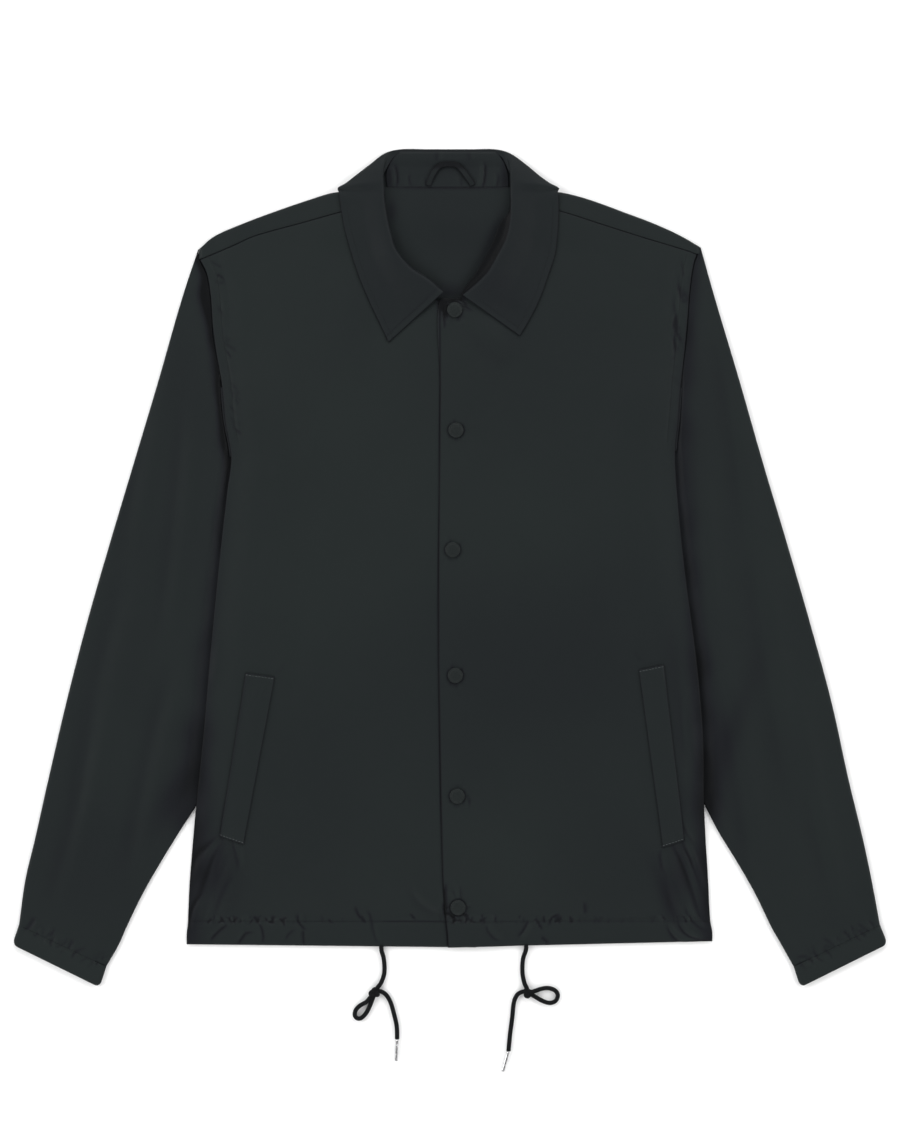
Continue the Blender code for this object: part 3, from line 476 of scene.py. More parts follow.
def paint(bm, key, shade, places_of):
    """Gives each vertex its shade and each corner its place on the cloth, in millimetres."""
    uv_layer = bm.loops.layers.uv.new("cloth")
    tone = bm.verts.layers.float.new("shade")
    shade = np.ravel(shade)
    for vert in bm.verts:
        vert[tone] = shade[vert[key]]
    for face in bm.faces:
        places = places_of([loop.vert[key] for loop in face.loops])
        for loop, (u, v) in zip(face.loops, places):
            loop[uv_layer].uv = (u * MM, v * MM)
    bm.verts.layers.int.remove(key)


def skin_wall(piece, thickness):
    wall = piece.modifiers.new("wall", "SOLIDIFY")
    wall.thickness = thickness * MM
    wall.offset = -1.0
    return wall


def loft_rings(name, rings, material, node_names, shade=None, wall=0.0, close=False):
    """A skin through rings of points, made by extruding the first ring along."""
    rings = np.asarray(rings, float)
    count = rings.shape[1]
    points = rings.reshape(-1, 3)
    bm = bmesh.new()
    key = bm.verts.layers.int.new("key")
    for index, vert in enumerate(bmesh.ops.create_circle(bm, segments=count, radius=1.0)["verts"]):
        vert[key] = index
        vert.co = points[index]
    first = edges = bm.edges[:]
    for number in range(1, len(rings)):
        grown = bmesh.ops.extrude_edge_only(bm, edges=edges)["geom"]
        fresh = {item for item in grown if isinstance(item, bmesh.types.BMVert)}
        for vert in fresh:
            vert[key] = number * count + vert[key] % count
            vert.co = points[vert[key]]
        edges = [item for item in grown
                 if isinstance(item, bmesh.types.BMEdge) and fresh.issuperset(item.verts)]
    if close:
        for mouth in (first, edges):
            bmesh.ops.contextual_create(bm, geom=mouth)
    bmesh.ops.recalc_face_normals(bm, faces=bm.faces[:])
    middle = rings[..., 2].mean()
    outward = sum(face.normal.z * face.calc_area() * (face.calc_center_median().z - middle)
                  for face in bm.faces)
    if outward < 0.0:
        bmesh.ops.reverse_faces(bm, faces=bm.faces[:])
    around, down = running(np.concatenate([rings, rings[:, :1]], axis=1), 1), lengths(rings)

    def places_of(numbers):
        columns = [number % count for number in numbers]
        wraps = max(columns) - min(columns) > count // 2
        return [(around[number // count, count if wraps and column < count // 2 else column],
                 down[number // count]) for number, column in zip(numbers, columns)]

    paint(bm, key, np.zeros(len(points)) if shade is None else shade, places_of)
    piece = finish_mesh(name, bm, material, node_names)
    if wall:
        thick = piece.vertex_groups.new(name="thick")
        for vert in piece.data.vertices:
            crossed = vert.normal.z * (vert.co.z - middle * MM) < -0.0003
            thick.add([vert.index], 0.0 if crossed else 1.0, "REPLACE")
        skin_wall(piece, wall).vertex_group = "thick"
    print("%s: %d rings of %d points" % (name, len(rings), count))
    return piece

# %% [markdown]
# ## Drawcord
#
# The two ends of the hem's cord come out of the casing, and each is tied in a small bow: a
# knot, one loop and a tail with a crimped metal tip. The routes repeat those of the solids. The
# braid is eight strands that cross, raised from the tube itself.

# %% Cord routes
CORD = 4.3
CORD_LIE = 0.5 * CORD + 0.02
CORD_SIDES, CORD_STEP, BRAID = 24, 0.4, 0.04
CordEnd = namedtuple("CordEnd", "lead loop tail tip knot turn")
CORD_RIGHT = CordEnd(
    lead=[(-66, -363), (-65.8, -368), (-63.6, -376), (-63.2, -390), (-66.5, -399.5), (-69.6, -403.6),
          (-71.3, -406.4)],
    loop=[(-74.2, -410.2), (-76.6, -413.2), (-80.5, -417.5), (-86.5, -421), (-90.6, -425.5), (-91.2, -431),
          (-87.4, -433.6), (-82.4, -430.4), (-78.5, -424.5), (-74.6, -415.1), (-73.2, -411)],
    tail=[(-70.6, -406.9), (-66.9, -407.2), (-62, -410), (-57.5, -417), (-54, -428.3),
          (-51.2, -441), (-50.8, -453)],
    tip=[(-50.8, -453.4), (-51.8, -474.5)],
    knot=(-72.6, -408.3), turn=0.9)
CORD_LEFT = CordEnd(
    lead=[(73.2, -362.5), (72.8, -368), (70.2, -376), (69.6, -389), (71.4, -399), (73.5, -403.6),
          (74.4, -406.3)],
    loop=[(77.4, -408.2), (81, -407.2), (88, -404.8), (95, -404.2), (101.4, -406.8), (103.6, -411.4),
          (101.2, -416.6), (95.5, -418.4), (88, -416), (80.9, -411.9), (77.2, -409.8)],
    tail=[(72.8, -407.6), (69.2, -407.8), (64.6, -410.6), (61.4, -418), (59.8, -432.5),
          (57.6, -449.4), (56.2, -464.6)],
    tip=[(56.1, -465), (50.6, -484.5)],
    knot=(75.1, -408.6), turn=-0.4)


# %% Cords, knots and tips
def tube(name, route, radius, node_names, closed=False):
    """A round tube along points, with the crossing strands of a braid raised on it."""
    run = lengths(route)
    count = max(4, int(run[-1] / CORD_STEP))
    spots = curve(route, np.interp(np.linspace(0.0, run[-1], count), run, np.arange(len(run))))
    ahead = np.gradient(spots, axis=0)
    if closed:
        ahead[0] = ahead[-1] = spots[1] - spots[-2]
    ahead = unit(ahead)
    side = unit(np.cross([0.0, 0.0, 1.0], ahead))
    turn = np.arange(CORD_SIDES) * math.tau / CORD_SIDES
    place = lengths(spots)[:, None]
    strands = np.cos(4.0 * turn + place * 2.0) * np.cos(4.0 * turn - place * 2.0)
    size = radius * (1.0 - BRAID + BRAID * strands)
    rings = (spots[:, None] + side[:, None] * (np.cos(turn) * size)[..., None]
             + np.cross(ahead, side)[:, None] * (np.sin(turn) * size)[..., None])
    if closed:
        rings[-1] = rings[0]
    return loft_rings(name, rings, cord_yarn, node_names, close=not closed)


def lying(route, lift=0.0):
    """The route as 24 points at the height where the cord lies, risen where it leaves the hem."""
    shares = np.linspace(0.0, 1.0, 24)
    plan = along(np.array(route, float), shares)
    return np.column_stack([plan, CORD_LIE + lift * (1.0 - smooth_step(shares / 0.4))])


def make_knot(name, node, centre, turn):
    """An overhand knot, drawn tight: a flat clover of cord that passes over and under itself."""
    angle = np.linspace(0.0, math.tau, 90)
    flat_x = np.sin(angle) + 1.75 * np.sin(2 * angle)
    flat_y = np.cos(angle) - 1.75 * np.cos(2 * angle)
    cosine, sine = math.cos(turn), math.sin(turn)
    route = np.column_stack([
        centre[0] + 1.3 * (flat_x * cosine - flat_y * sine) * 1.1,
        centre[1] + 1.3 * (flat_x * sine + flat_y * cosine) * 0.95,
        3.9 - 1.7 * np.sin(3 * angle)])
    return tube(name, route, 2.05, [node], closed=True)


def make_tip(name, node, route):
    start, end = np.array(route, float)
    shares = np.array([0.0, 0.012, 0.05, 0.1, 0.13, 0.17, 0.2, 0.24, 0.3, 0.5, 0.7, 0.9, 0.96, 0.988, 1.0])
    radii = np.array([1.3, 1.52, 1.61, 1.61, 1.46, 1.58, 1.46,
                      1.61, 1.61, 1.61, 1.61, 1.61, 1.55, 1.36, 1.1])
    side = sideways(np.array([start, end]))[0]
    turn = np.arange(28) * math.tau / 28
    rings = []
    for spot, radius in zip(between(start, end, shares), radii):
        flat = spot + side * (np.cos(turn) * radius)[:, None]
        rings.append(np.column_stack([flat, CORD_LIE + np.sin(turn) * radius]))
    return loft_rings(name, rings, metal, [node], close=True)


def make_cord_end(side, cord):
    routes = {"lead": lying(cord.lead, 0.9), "loop": lying(cord.loop), "tail": lying(cord.tail)}
    cords = {part: tube("cord_%s_%s" % (part, side), route, 0.5 * CORD, ["drawcord_%s_%s" % (side, part)])
             for part, route in routes.items()}
    knot = make_knot("bow_knot_" + side, "knot_" + side, cord.knot, cord.turn)
    tip = make_tip("cord_tip_" + side, "aglet_" + side, cord.tip)


make_cord_end("right", CORD_RIGHT)
make_cord_end("left", CORD_LEFT)

# %% [markdown]
# ## From points to a piece of cloth
#
# Every panel starts as a flat grid from Blender's own grid operator. Its points are moved to the
# middle of the cloth, the faces are extruded, and the two skins part along the surface's
# own direction by half the thickness. Near an edge the thickness falls along a quarter circle,
# so a hem ends in a soft round and not in a cut.

# %% Panels
Panel = namedtuple("Panel", "piece points normals half sides")
# Painted shade within about a millimetre of every panel edge, as in a seam's gap or under a lap.
EDGE_SHADE = 1.1
EDGE_REACH = 1.1


def number_grid(rows, columns):
    """A grid whose vertices know the number of their point, row by row."""
    bm = bmesh.new()
    key = bm.verts.layers.int.new("key")
    bmesh.ops.create_grid(bm, x_segments=columns - 1, y_segments=rows - 1, size=0.5)
    for vert in bm.verts:
        column, row = (round((place + 0.5) * (many - 1)) for place, many in zip(vert.co, (columns, rows)))
        vert[key] = row * columns + column
    return bm, key


def make_panel(name, points, thickness, node_names, shade=0.0, radius=1.0, material=nylon):
    """A panel of cloth round a grid of points that runs through its middle."""
    rows, columns = points.shape[:2]
    sides, nearest = edge_distance(points)
    half = 0.5 * np.broadcast_to(thickness, (rows, columns)) * np.maximum(rounded(nearest, radius), 0.06)
    facing = np.cross(np.gradient(points, axis=1), np.gradient(points, axis=0))
    facing /= np.maximum(np.linalg.norm(facing, axis=-1, keepdims=True), 1e-9)
    if facing[rows // 2, columns // 2, 2] < 0:
        facing = -facing
    bm, key = number_grid(rows, columns)
    raised = bmesh.ops.extrude_face_region(bm, geom=bm.faces[:])["geom"]
    upper = {item for item in raised if isinstance(item, bmesh.types.BMVert)}
    top, under = ((points + way * facing * half[..., None]).reshape(-1, 3) for way in (1.0, -1.0))
    for vert in bm.verts:
        vert.co = (top if vert in upper else under)[vert[key]]
    bmesh.ops.recalc_face_normals(bm, faces=bm.faces[:])
    places = np.dstack([sides["start"], sides["first"]]).reshape(-1, 2)
    # Painted shade along every edge of the panel.
    shade = shade + EDGE_SHADE * (1.0 - smooth_step(nearest / EDGE_REACH))
    paint(bm, key, shade, lambda numbers: places[numbers])
    piece = finish_mesh(name, bm, material, node_names)
    laid[name] = points
    print("%s: %d by %d points" % (name, rows, columns))
    return Panel(piece, points, facing, half, sides)

# %% [markdown]
# ## Stitching
#
# A topstitch is a row of short threads that sink into the cloth at both ends. Each one here is a
# small ball drawn out along the seam, with only a few faces, because there are hundreds. A
# seam's line is found on the finished panel, at a set distance in from one of its edges.

# %% Rows of thread
STITCH_PITCH = 3.1
STITCH_LENGTH = 2.3
THREAD_RADIUS = 0.2
THREAD_LIFT = 0.05


def line_inside(panel, side, distance, start=0, end=None):
    """Points on top of a panel at a distance in from one of its sides, with their normals."""
    reach = panel.sides[side]
    top, facing = panel.points + panel.normals * panel.half[..., None], panel.normals
    if side in ("start", "end"):
        reach, top, facing = reach.T, top.swapaxes(0, 1), facing.swapaxes(0, 1)
    if side in ("last", "end"):
        reach, top, facing = reach[::-1], top[::-1], facing[::-1]
    spots, ways = [], []
    for column in range(reach.shape[1])[start:end]:
        place = np.interp(distance, reach[:, column], np.arange(len(reach)))
        low = min(int(place), len(reach) - 2)
        part = place - low
        for grid, found in ((top, spots), (facing, ways)):
            found.append(grid[low, column] * (1 - part) + grid[low + 1, column] * part)
    return np.array(spots), np.array(ways)


def add_stitches(bm, spots, ways):
    run = lengths(spots)
    count = int(run[-1] // STITCH_PITCH)

    def at(place, rows):
        return Vector([np.interp(place, run, rows[:, axis]) for axis in range(3)])

    for number in range(count):
        middle = (number + 0.5) * STITCH_PITCH
        ahead = (at(middle + 0.6, spots) - at(middle - 0.6, spots)).normalized()
        up = at(middle, ways).normalized()
        side = up.cross(ahead).normalized()
        up = ahead.cross(side)
        turn = Matrix((ahead, side, up)).transposed().to_4x4()
        size = Matrix.Diagonal((0.5 * STITCH_LENGTH, THREAD_RADIUS, THREAD_RADIUS, 1.0))
        place = Matrix.Translation(at(middle, spots) + up * THREAD_LIFT)
        bmesh.ops.create_uvsphere(bm, u_segments=6, v_segments=4, radius=1.0, matrix=place @ turn @ size)
    return count


def make_stitches(name, lines, material=thread):
    """One object for all the stitching of a piece."""
    bm = bmesh.new()
    count = sum(add_stitches(bm, *line) for line in lines)
    finish_mesh(name, bm, material)
    print("%s: %d stitches" % (name, count))

# %% [markdown]
# ## The body's outline
#
# These are the cut lines of the body, from the hem up. The same lines made the solids, so each
# fine panel lies exactly on its own solid.

# %% Outlines
RIGHT_SIDE = [
    (-253, -362), (-253, -352), (-252, -343), (-250, -300), (-244, -232), (-237, -162), (-231, -92),
    (-222, 1), (-214, 72), (-210, 106), (-216, 143), (-220, 184), (-227, 219), (-229, 252), (-233, 280),
    (-240, 295)]
LEFT_SIDE = [
    (252, -359), (252, -350), (250, -339), (248, -300), (244, -232), (243, -162), (237, -92), (225, 1),
    (218, 72), (216, 111), (219, 143), (222, 180), (227, 222), (230, 264), (234, 291), (237, 300)]
FRONT_EDGE = [
    (-2, -365), (-2.5, -354), (-4, -339), (-7, -300), (-9, -216), (-11, -92), (-11, 7), (-10, 110),
    (-9.5, 178), (-10, 256)]
RIGHT_NECK = [(-12, 257), (-33, 272), (-47, 281), (-60, 299), (-66, 313), (-71, 336), (-73, 349)]
LEFT_NECK = [(10, 259), (16, 268), (24, 279), (35, 298), (42, 312), (50, 331), (66, 349)]
RIGHT_SHOULDER_FOLD = [
    (-241, 306), (-227, 318), (-200, 330), (-171, 341), (-136, 353), (-112, 360), (-98, 361),
    (-85, 363.5), (-73, 366)]
LEFT_SHOULDER_FOLD = [
    (66, 366), (82, 363.5), (94, 361), (108, 360), (135, 353), (168, 341), (197, 330), (223, 318),
    (240, 308)]
RIGHT_SHOULDER_SEAM = [(-240, 295.5), (-208, 309), (-188, 318), (-145, 330), (-105, 341), (-73, 349.5)]
LEFT_SHOULDER_SEAM = [(66, 349.5), (105, 342), (150, 328), (188, 316), (228, 304), (237, 300.5)]
NECK_SEAM_Y = 365.5
UNDERARM = 9
LAP = 27.0

# %% [markdown]
# ## How high the cloth lies
#
# The sleeves are pressed flat under the sides of the body, the back lies on the folded collar,
# and a little air stays between the back and the fronts. Heights are worked out from these
# facts, for any point of the plan.

# %% Heights of the layers
CLOTH = 1.2
CASING = 1.0
GAP = 0.3
CUT_GAP = 0.6
PUFF = 2.0
TUCK_HEIGHT = 3.0
NECK_LIFT = 1.8
CASING_TOP = -342.0
HEM_STITCH = -340.0


def side_x(x, y):
    """How far out the side of the body is at each height, on the side where the point is."""
    right, left = np.array(RIGHT_SIDE, float), np.array(LEFT_SIDE, float)
    return np.where(x < 0, np.interp(y, right[:, 1], -right[:, 0]), np.interp(y, left[:, 1], left[:, 0]))


def back_under(x, y):
    inside = side_x(x, y) - np.abs(x)
    over_sleeve = 1.0 - smooth_step((inside - 42.0) / 45.0)
    over_sleeve = over_sleeve * (1.0 - smooth_step((y - 142.0) / 80.0)) * smooth_step((y + 280.0) / 40.0)
    over_collar = smooth_step((y - 300.0) / 38.0) * (1.0 - smooth_step((np.abs(x) - 112.0) / 35.0))
    return (TUCK_HEIGHT + GAP) * over_sleeve + NECK_LIFT * over_collar


def plain_front_under(x, y):
    inside = side_x(x, y) - np.abs(x)
    near_shoulder = 0.6 * smooth_step((y - 180.0) / 60.0)
    air = np.maximum(smooth_step(inside / 30.0), near_shoulder)
    air = PUFF * air * smooth_step((y - CASING_TOP) / 45.0)
    return back_under(x, y) + CLOTH + GAP + air


def casing(y):
    return CASING * (1.0 - smooth_step((y - CASING_TOP + 7.0) / 12.0))


# %% Creases of the fronts
WIDE_CREASES = table(Crease, [
    (-232, -215, -240, -335, 2, 8, 0.9), (-205, -268, -232, -345, -3, 7, 0.8),
    (-222, -60, -228, -190, 2, 9, 0.7), (228, -60, 234, -200, -2, 9, 0.7),
    (236, -200, 242, -330, 2, 8, 0.9), (205, -275, 240, -350, 3, 7, 0.8), (30, 236, 62, 205, 2, 8, 0.4),
    (-34, -306, -9, -328, 3, 4, 0.7), (228, -120, 236, -190, 2, 4.5, 0.5),
    (-222, -60, -230, -120, -2, 4.5, 0.4),
])
HEM_FOLDS = table(Crease, [
    (-220, -335, -216, -342, 1, 1.35, -0.6), (-214, -336, -210, -342, -1, 1.35, -0.6),
    (-208, -335, -206, -343, 0, 1.35, -0.5), (-187, -335, -186, -341, 0, 1.35, -0.5),
    (-178, -337, -169, -342, 1, 1.35, -0.7), (-165, -337, -159, -344, -1, 1.35, -0.6),
    (-147, -334, -140, -347, 2, 1.35, -0.7), (-141.5, -349, -141, -361, 0, 1.35, -0.7),
    (-215, -344, -229, -357, 1, 1.6, -0.5), (-196, -349, -204, -361, -1, 1.4, -0.6),
    (-191, -350, -202, -359, 2, 1.35, -0.5), (-183, -343, -180, -359, -1.5, 1.4, -0.5),
    (-150, -348, -158, -357, 1, 1.35, -0.3), (-91, -326, -85, -338, 1, 1.6, -0.35),
    (-79, -330, -75, -347, -1, 1.6, -0.25), (-71, -344, -66, -360, 1, 1.7, 0.45),
    (-38, -333, -34, -338, 0, 1.35, -0.4), (-4, -306, -3, -331, 1, 1.6, -0.7),
    (-7, -322, -3, -337, 1, 1.35, -0.7), (-1, -333, 5, -342, -1, 1.35, -0.7),
    (1, -336, 11, -339, 1, 1.35, -0.7), (12, -332, 16, -342, -1, 1.35, -0.7),
    (15, -331, 23, -341, 2, 1.4, -0.7), (37, -342, 49, -356, 2, 1.8, 0.6), (78, -342, 69, -356, -1, 2, 0.8),
    (104, -333, 95, -343, 2, 1.5, -0.5), (82, -338, 88, -347, 0, 1.35, -0.5),
    (88, -355, 94, -361, 0, 1.35, -0.6), (129, -322, 130, -332, 0, 1.8, -0.3),
    (211, -343, 238, -360, 5, 2.2, 0.8), (221, -340, 245, -355, 4, 1.8, 0.7),
    (228, -322, 246, -346, 3, 2, 0.5),
])
SIDE_FOLDS = table(Crease, [
    (-228, -268, -246, -300, 3, 3.4, 0.5), (-216, -266, -240, -338, 2, 3.2, 0.45),
    (-206, -262, -200, -288, -1, 2.0, 0.35), (-200, -266, -198, -286, 0, 1.6, 0.5),
    (-222, -290, -232, -334, 1, 3.0, 0.35), (-238, -318, -247, -346, 2, 2.4, 0.6),
    (-206, -216, -214, -262, 2, 2.6, 0.4), (-196, -232, -202, -262, -1, 2.0, 0.4),
    (-206, -300, -222, -336, 1, 2.8, 0.25), (217, -262, 243, -330, -2, 2.8, 0.6),
    (225, -258, 244, -312, -2, 2.4, 0.6), (212, -272, 222, -330, 1, 5.0, 0.2),
    (222, -236, 236, -262, 1, 2.0, 0.4), (-222, -262, -236, -285, 2, 2.4, 0.5),
    (-212, -266, -221, -292, 1, 2.2, 0.4), (226, -266, 236, -286, -2, 2.4, 0.4),
    (206, -272, 208, -290, 1, 2.2, 0.3), (-170, -98, -162, -90, 1, 2.0, 0.15),
    (182, -92, 174, -84, -1, 2.0, 0.15),
])
HEM_PUCKERS = (
    puckers([(-236, HEM_STITCH), (-148, HEM_STITCH)], 30, 3, 6, 0.5, 0.5, 1.15)
    + puckers([(-146, HEM_STITCH), (-66, HEM_STITCH)], 8, 5, 6, 0.3, -0.3, 1.2)
    + puckers([(-12, HEM_STITCH), (40, HEM_STITCH)], 18, 7, 7, 0.5, 0.3, 1.1)
    + puckers([(40, HEM_STITCH), (125, HEM_STITCH)], 22, 9, 6, 0.45, 0.2, 1.2)
    + puckers([(125, HEM_STITCH), (200, HEM_STITCH)], 12, 12, 6, 0.15, 0.2, 1.1)
    + puckers([(200, HEM_STITCH), (246, HEM_STITCH)], 15, 11, 7, 0.5, -0.4, 1.1)
)
ARMHOLE_PUCKERS = (
    puckers([(-226, 296), (-219, 252), (-211, 184), (-206, 130)], 26, 13, 9, 0.3, 0.6, 1.3)
    + puckers([(225, 296), (220, 262), (214, 214)], 18, 15, 15, 0.35, 1.1, 1.3)
    + puckers([(214, 214), (209, 130)], 8, 17, 9, 0.15, 0.3, 1.6)
)
STUDS = [(4.6, 247.3), (5.7, 131.8), (2.6, 17.0), (5.1, -103.6), (6.9, -219.4), (7.7, -326.4)]
STUD_RADIUS = 7.4


def stud_creases():
    """Short creases that run out from each press stud, where the cloth is clenched."""
    draw = np.random.default_rng(21)
    found = []
    for number, (x, y) in enumerate(STUDS):
        strength = 0.4 if number in (0, 5) else 0.1
        for turn in np.arange(7) * math.tau / 7 + draw.uniform(0.0, 0.9, 7):
            inner, outer = 6.0, draw.uniform(12.0, 20.0)
            found.append(Crease(x + inner * math.cos(turn), y + inner * math.sin(turn),
                                x + outer * math.cos(turn), y + outer * math.sin(turn),
                                draw.normal(0.0, 0.6), draw.uniform(1.1, 2.0),
                                strength * draw.uniform(0.4, 1.0)))
    return found


TOP_STUD_CREASES = table(Crease, [
    (-8, 258, -4, 242, 1, 1.4, -0.8), (-4, 259, 1, 255, -1, 1.2, -0.7), (-7, 246, -5, 232, 0, 1.3, -0.5),
    (13, 254, 20, 246, 1, 1.3, -0.5), (9, 258, 15, 253, 0, 1.2, -0.6), (17, -220, 19, -228, 0, 1.3, -0.4),
])
FINE_CREASES = (HEM_FOLDS + SIDE_FOLDS + HEM_PUCKERS + ARMHOLE_PUCKERS + stud_creases()
                + TOP_STUD_CREASES)


def front_relief(x, y):
    """Height that creases and stitching add to the fronts, and the painted shade and light that go with
    them.
    """
    wide, fine = ridges(x, y, WIDE_CREASES), np.clip(ridges(x, y, FINE_CREASES), -0.6, 1.0)
    inside = side_x(x, y) - np.abs(x)
    upper = smooth_step((y - 112.0) / 20.0)
    clear = np.exp(-((x + 36.0) / 31.0) ** 6)
    in_stitching = np.exp(-((y - HEM_STITCH) / 0.9) ** 2)
    relief = wide + fine
    relief = relief - 0.32 * upper * np.exp(-((inside - 9.0) / 1.4) ** 2)
    relief = relief + 0.3 * upper * smooth_step((8.5 - inside) / 2.0)
    relief = relief - (0.06 + 0.2 * clear) * np.exp(-((y - HEM_STITCH) / 1.5) ** 2)
    calm = rounded(np.maximum(inside, 0.0), 14.0) * 0.8 + 0.2
    # Painted shade in the crease troughs and along the hem's stitch line, and a little painted light on the
    # ridges.
    tone = painted_fold_shading(wide, 0.25) + painted_fold_shading(fine, 1.05) + (0.3 + 0.55 * clear) * in_stitching
    return relief * calm, tone


def placket_shadow(x, y):
    """Painted shadow: the dark line along the closing edge, where the left front laps over, and the thin one
    round each press stud.
    """
    edge = np.array(FRONT_EDGE)
    away = x - np.interp(y, edge[:, 1], edge[:, 0])
    tone = 1.3 * np.exp(-((away - 0.1) / 0.8) ** 2) * (y < FRONT_EDGE[-1][1] + 2.0)
    for centre_x, centre_y in STUDS:
        away = np.hypot(x - centre_x, y - centre_y)
        tone = tone + 0.7 * np.exp(-((away - STUD_RADIUS - 0.5) / 0.9) ** 2)
    return tone


# %% [markdown]
# ## Painted light and shade on the cloth
#
# Thin nylon shows soft patches: greener where it lies open to the light and bluer where it sinks
# towards a fold. Each patch is one soft ellipse.

# %% Soft patches
Patch = namedtuple("Patch", "x y reach_x reach_y turn amount")
# Soft patches of painted light (negative amounts) and painted shade (positive); the strongest are painted
# shadow where the fronts meet under the collar and at the hem.
PATCHES = table(Patch, [
    (-140, 170, 100, 170, 0, -0.16), (-90, 10, 120, 110, 0, -0.12), (70, 60, 70, 60, 0, -0.10),
    (110, -90, 130, 90, 0, 0.16), (60, -270, 60, 60, 0, -0.16), (-140, -220, 90, 90, 0, 0.04),
    (170, -300, 80, 60, 0, 0.12), (-222, -290, 20, 36, 4, 0.45), (217, -306, 12, 30, -3, 0.5),
    (-214, 190, 10, 90, 4, 0.08), (60, 215, 30, 14, 60, 0.1), (-85, 240, 20, 60, -25, 0.1),
    (-6, 252, 4.4, 8, 10, 2.4), (3, 258, 10, 2.6, 0, 2.2), (2, -332, 9, 6, 0, 0.7),
])


def shade_at(x, y, patches):
    total = np.zeros_like(x)
    for patch in patches:
        turn = math.radians(patch.turn)
        step_x, step_y = x - patch.x, y - patch.y
        across = step_x * math.cos(turn) + step_y * math.sin(turn)
        up = step_y * math.cos(turn) - step_x * math.sin(turn)
        total += patch.amount * np.exp(-(across / patch.reach_x) ** 2 - (up / patch.reach_y) ** 2)
    return total


# %% Painted shadow beside the body's edge
SideShadow = namedtuple("SideShadow", "y sleeve sleeve_reach body body_reach")
RIGHT_SHADOWS = table(SideShadow, [
    (-365, 0.6, 12, 0.6, 14), (-300, 0.8, 14, 1.0, 15), (-215, 1.1, 18, 1.1, 12), (-120, 0.8, 14, 0.6, 8),
    (-20, 0.7, 9, 0.25, 6), (70, 1.3, 6, 0.1, 5), (120, 3.8, 6.0, 0.1, 5), (175, 3.6, 5.6, 0.1, 5),
    (205, 1.6, 5.5, 0.1, 5), (232, 2.8, 6.5, 0.1, 5), (262, 4.2, 7.5, 0.1, 5), (290, 2.8, 5.5, 0.1, 5),
])
LEFT_SHADOWS = table(SideShadow, [
    (-365, 0.5, 10, 0.9, 11), (-300, 0.7, 12, 1.2, 11), (-230, 1.5, 12, 1.2, 10), (-120, 1.5, 10, 0.9, 9),
    (-20, 1.2, 9, 0.4, 5), (84, 0.9, 14, 0.2, 4), (160, 0.8, 12, 0.3, 3), (230, 0.9, 9, 0.3, 3),
    (290, 1.0, 7, 0.2, 3),
])


def side_shadow(x, y):
    """Painted shadow on both sides of the body's edge and along the armhole's fold, uneven in strength and
    width.
    """
    total = np.zeros_like(x)
    for side, table in ((-1.0, RIGHT_SHADOWS), (1.0, LEFT_SHADOWS)):
        heights = [row.y for row in table]
        here = x * side > 0.0
        gap = np.abs(x) - side_x(x, y)
        wander = 1.0 + 0.13 * np.sin(y / 17.0 + side) + 0.12 * np.sin(y / 7.3 + 2.0 * side)
        for field, reach_field, away in (("sleeve", "sleeve_reach", gap), ("body", "body_reach", -gap)):
            strength = np.interp(y, heights, [getattr(row, field) for row in table]) * wander
            reach = np.interp(y, heights, [getattr(row, reach_field) for row in table])
            reach = reach * (1.0 + 0.12 * np.sin(y / 11.0 + 3.0 * side))
            total += np.where(here & (away >= 0.0), strength * np.exp(-(away / reach) ** 2), 0.0)
    return total


# %% [markdown]
# ## Fronts
#
# Each front is a ladder: one rail is its closing edge and then the neck, the other its side and
# then the armhole. The rungs between them are divided evenly, with narrow steps at the ends. The
# top rung bows to meet the seam on the shoulder.


# %% The two fronts
def front_grid(side_points, edge_points, neck_points, seam_points, placket=0.0):
    """Plan of a front panel as a grid, finest at its hem, its side and its placket."""
    armhole_start = len(edge_points) - 1
    shares = (np.arange(len(neck_points)) + 1) / len(neck_points)
    armhole = curve(side_points, armhole_start + shares * (len(side_points) - 1 - armhole_start))
    inner = np.array(list(edge_points) + list(neck_points), float)
    outer = np.concatenate([np.array(side_points[:armhole_start + 1], float), armhole])
    bands = [(19.0, 1.3), (28.0, 0.7), (50.0, 1.3), (120.0, 2.6), (560.0, 3.8), (900.0, 2.6)]
    places = places_for(np.stack([inner, outer], axis=1), bands)
    width = np.linalg.norm(inner[0] - outer[0])
    across = stops(width, [(placket, 0.9), (width - 100.0, 1.8), (width, 1.15)]) / width
    start, end = curve(inner, places), curve(outer, places)
    plan = between(start, end, across)
    seam = along(seam_points, across if seam_points[0][0] == neck_points[-1][0] else 1.0 - across)
    bow = seam - between(inner[-1], outer[-1], across)
    strength = smooth_step((places - armhole_start - 2.0) / (len(inner) - 1 - armhole_start - 2.0))
    return plan + bow[None] * strength[:, None, None]


def make_front(name, plan, left):
    x, y = plan[..., 0], plan[..., 1]
    lift = (CLOTH + GAP) * (1.0 - smooth_step((x - LAP) / 45.0)) if left else np.zeros_like(x)
    extra = CASING * (1.0 - smooth_step((y - CASING_TOP - 4.0) / 6.0))
    under = plain_front_under(x, y) + lift * (1.0 + extra / (CLOTH + GAP))
    thickness = CLOTH + casing(y)
    relief, tone = front_relief(x, y)
    points = np.dstack([x, y, under + 0.5 * thickness + relief])
    # Painted light and shade of the fronts: soft patches, the shadow beside the body's edge, at the placket
    # and round the studs, and the shade of the creases.
    shade = shade_at(x, y, PATCHES) + side_shadow(x, y) + placket_shadow(x, y) + tone
    return make_panel(name, points, thickness, [name.replace("shell", "front")], shade, 1.3)


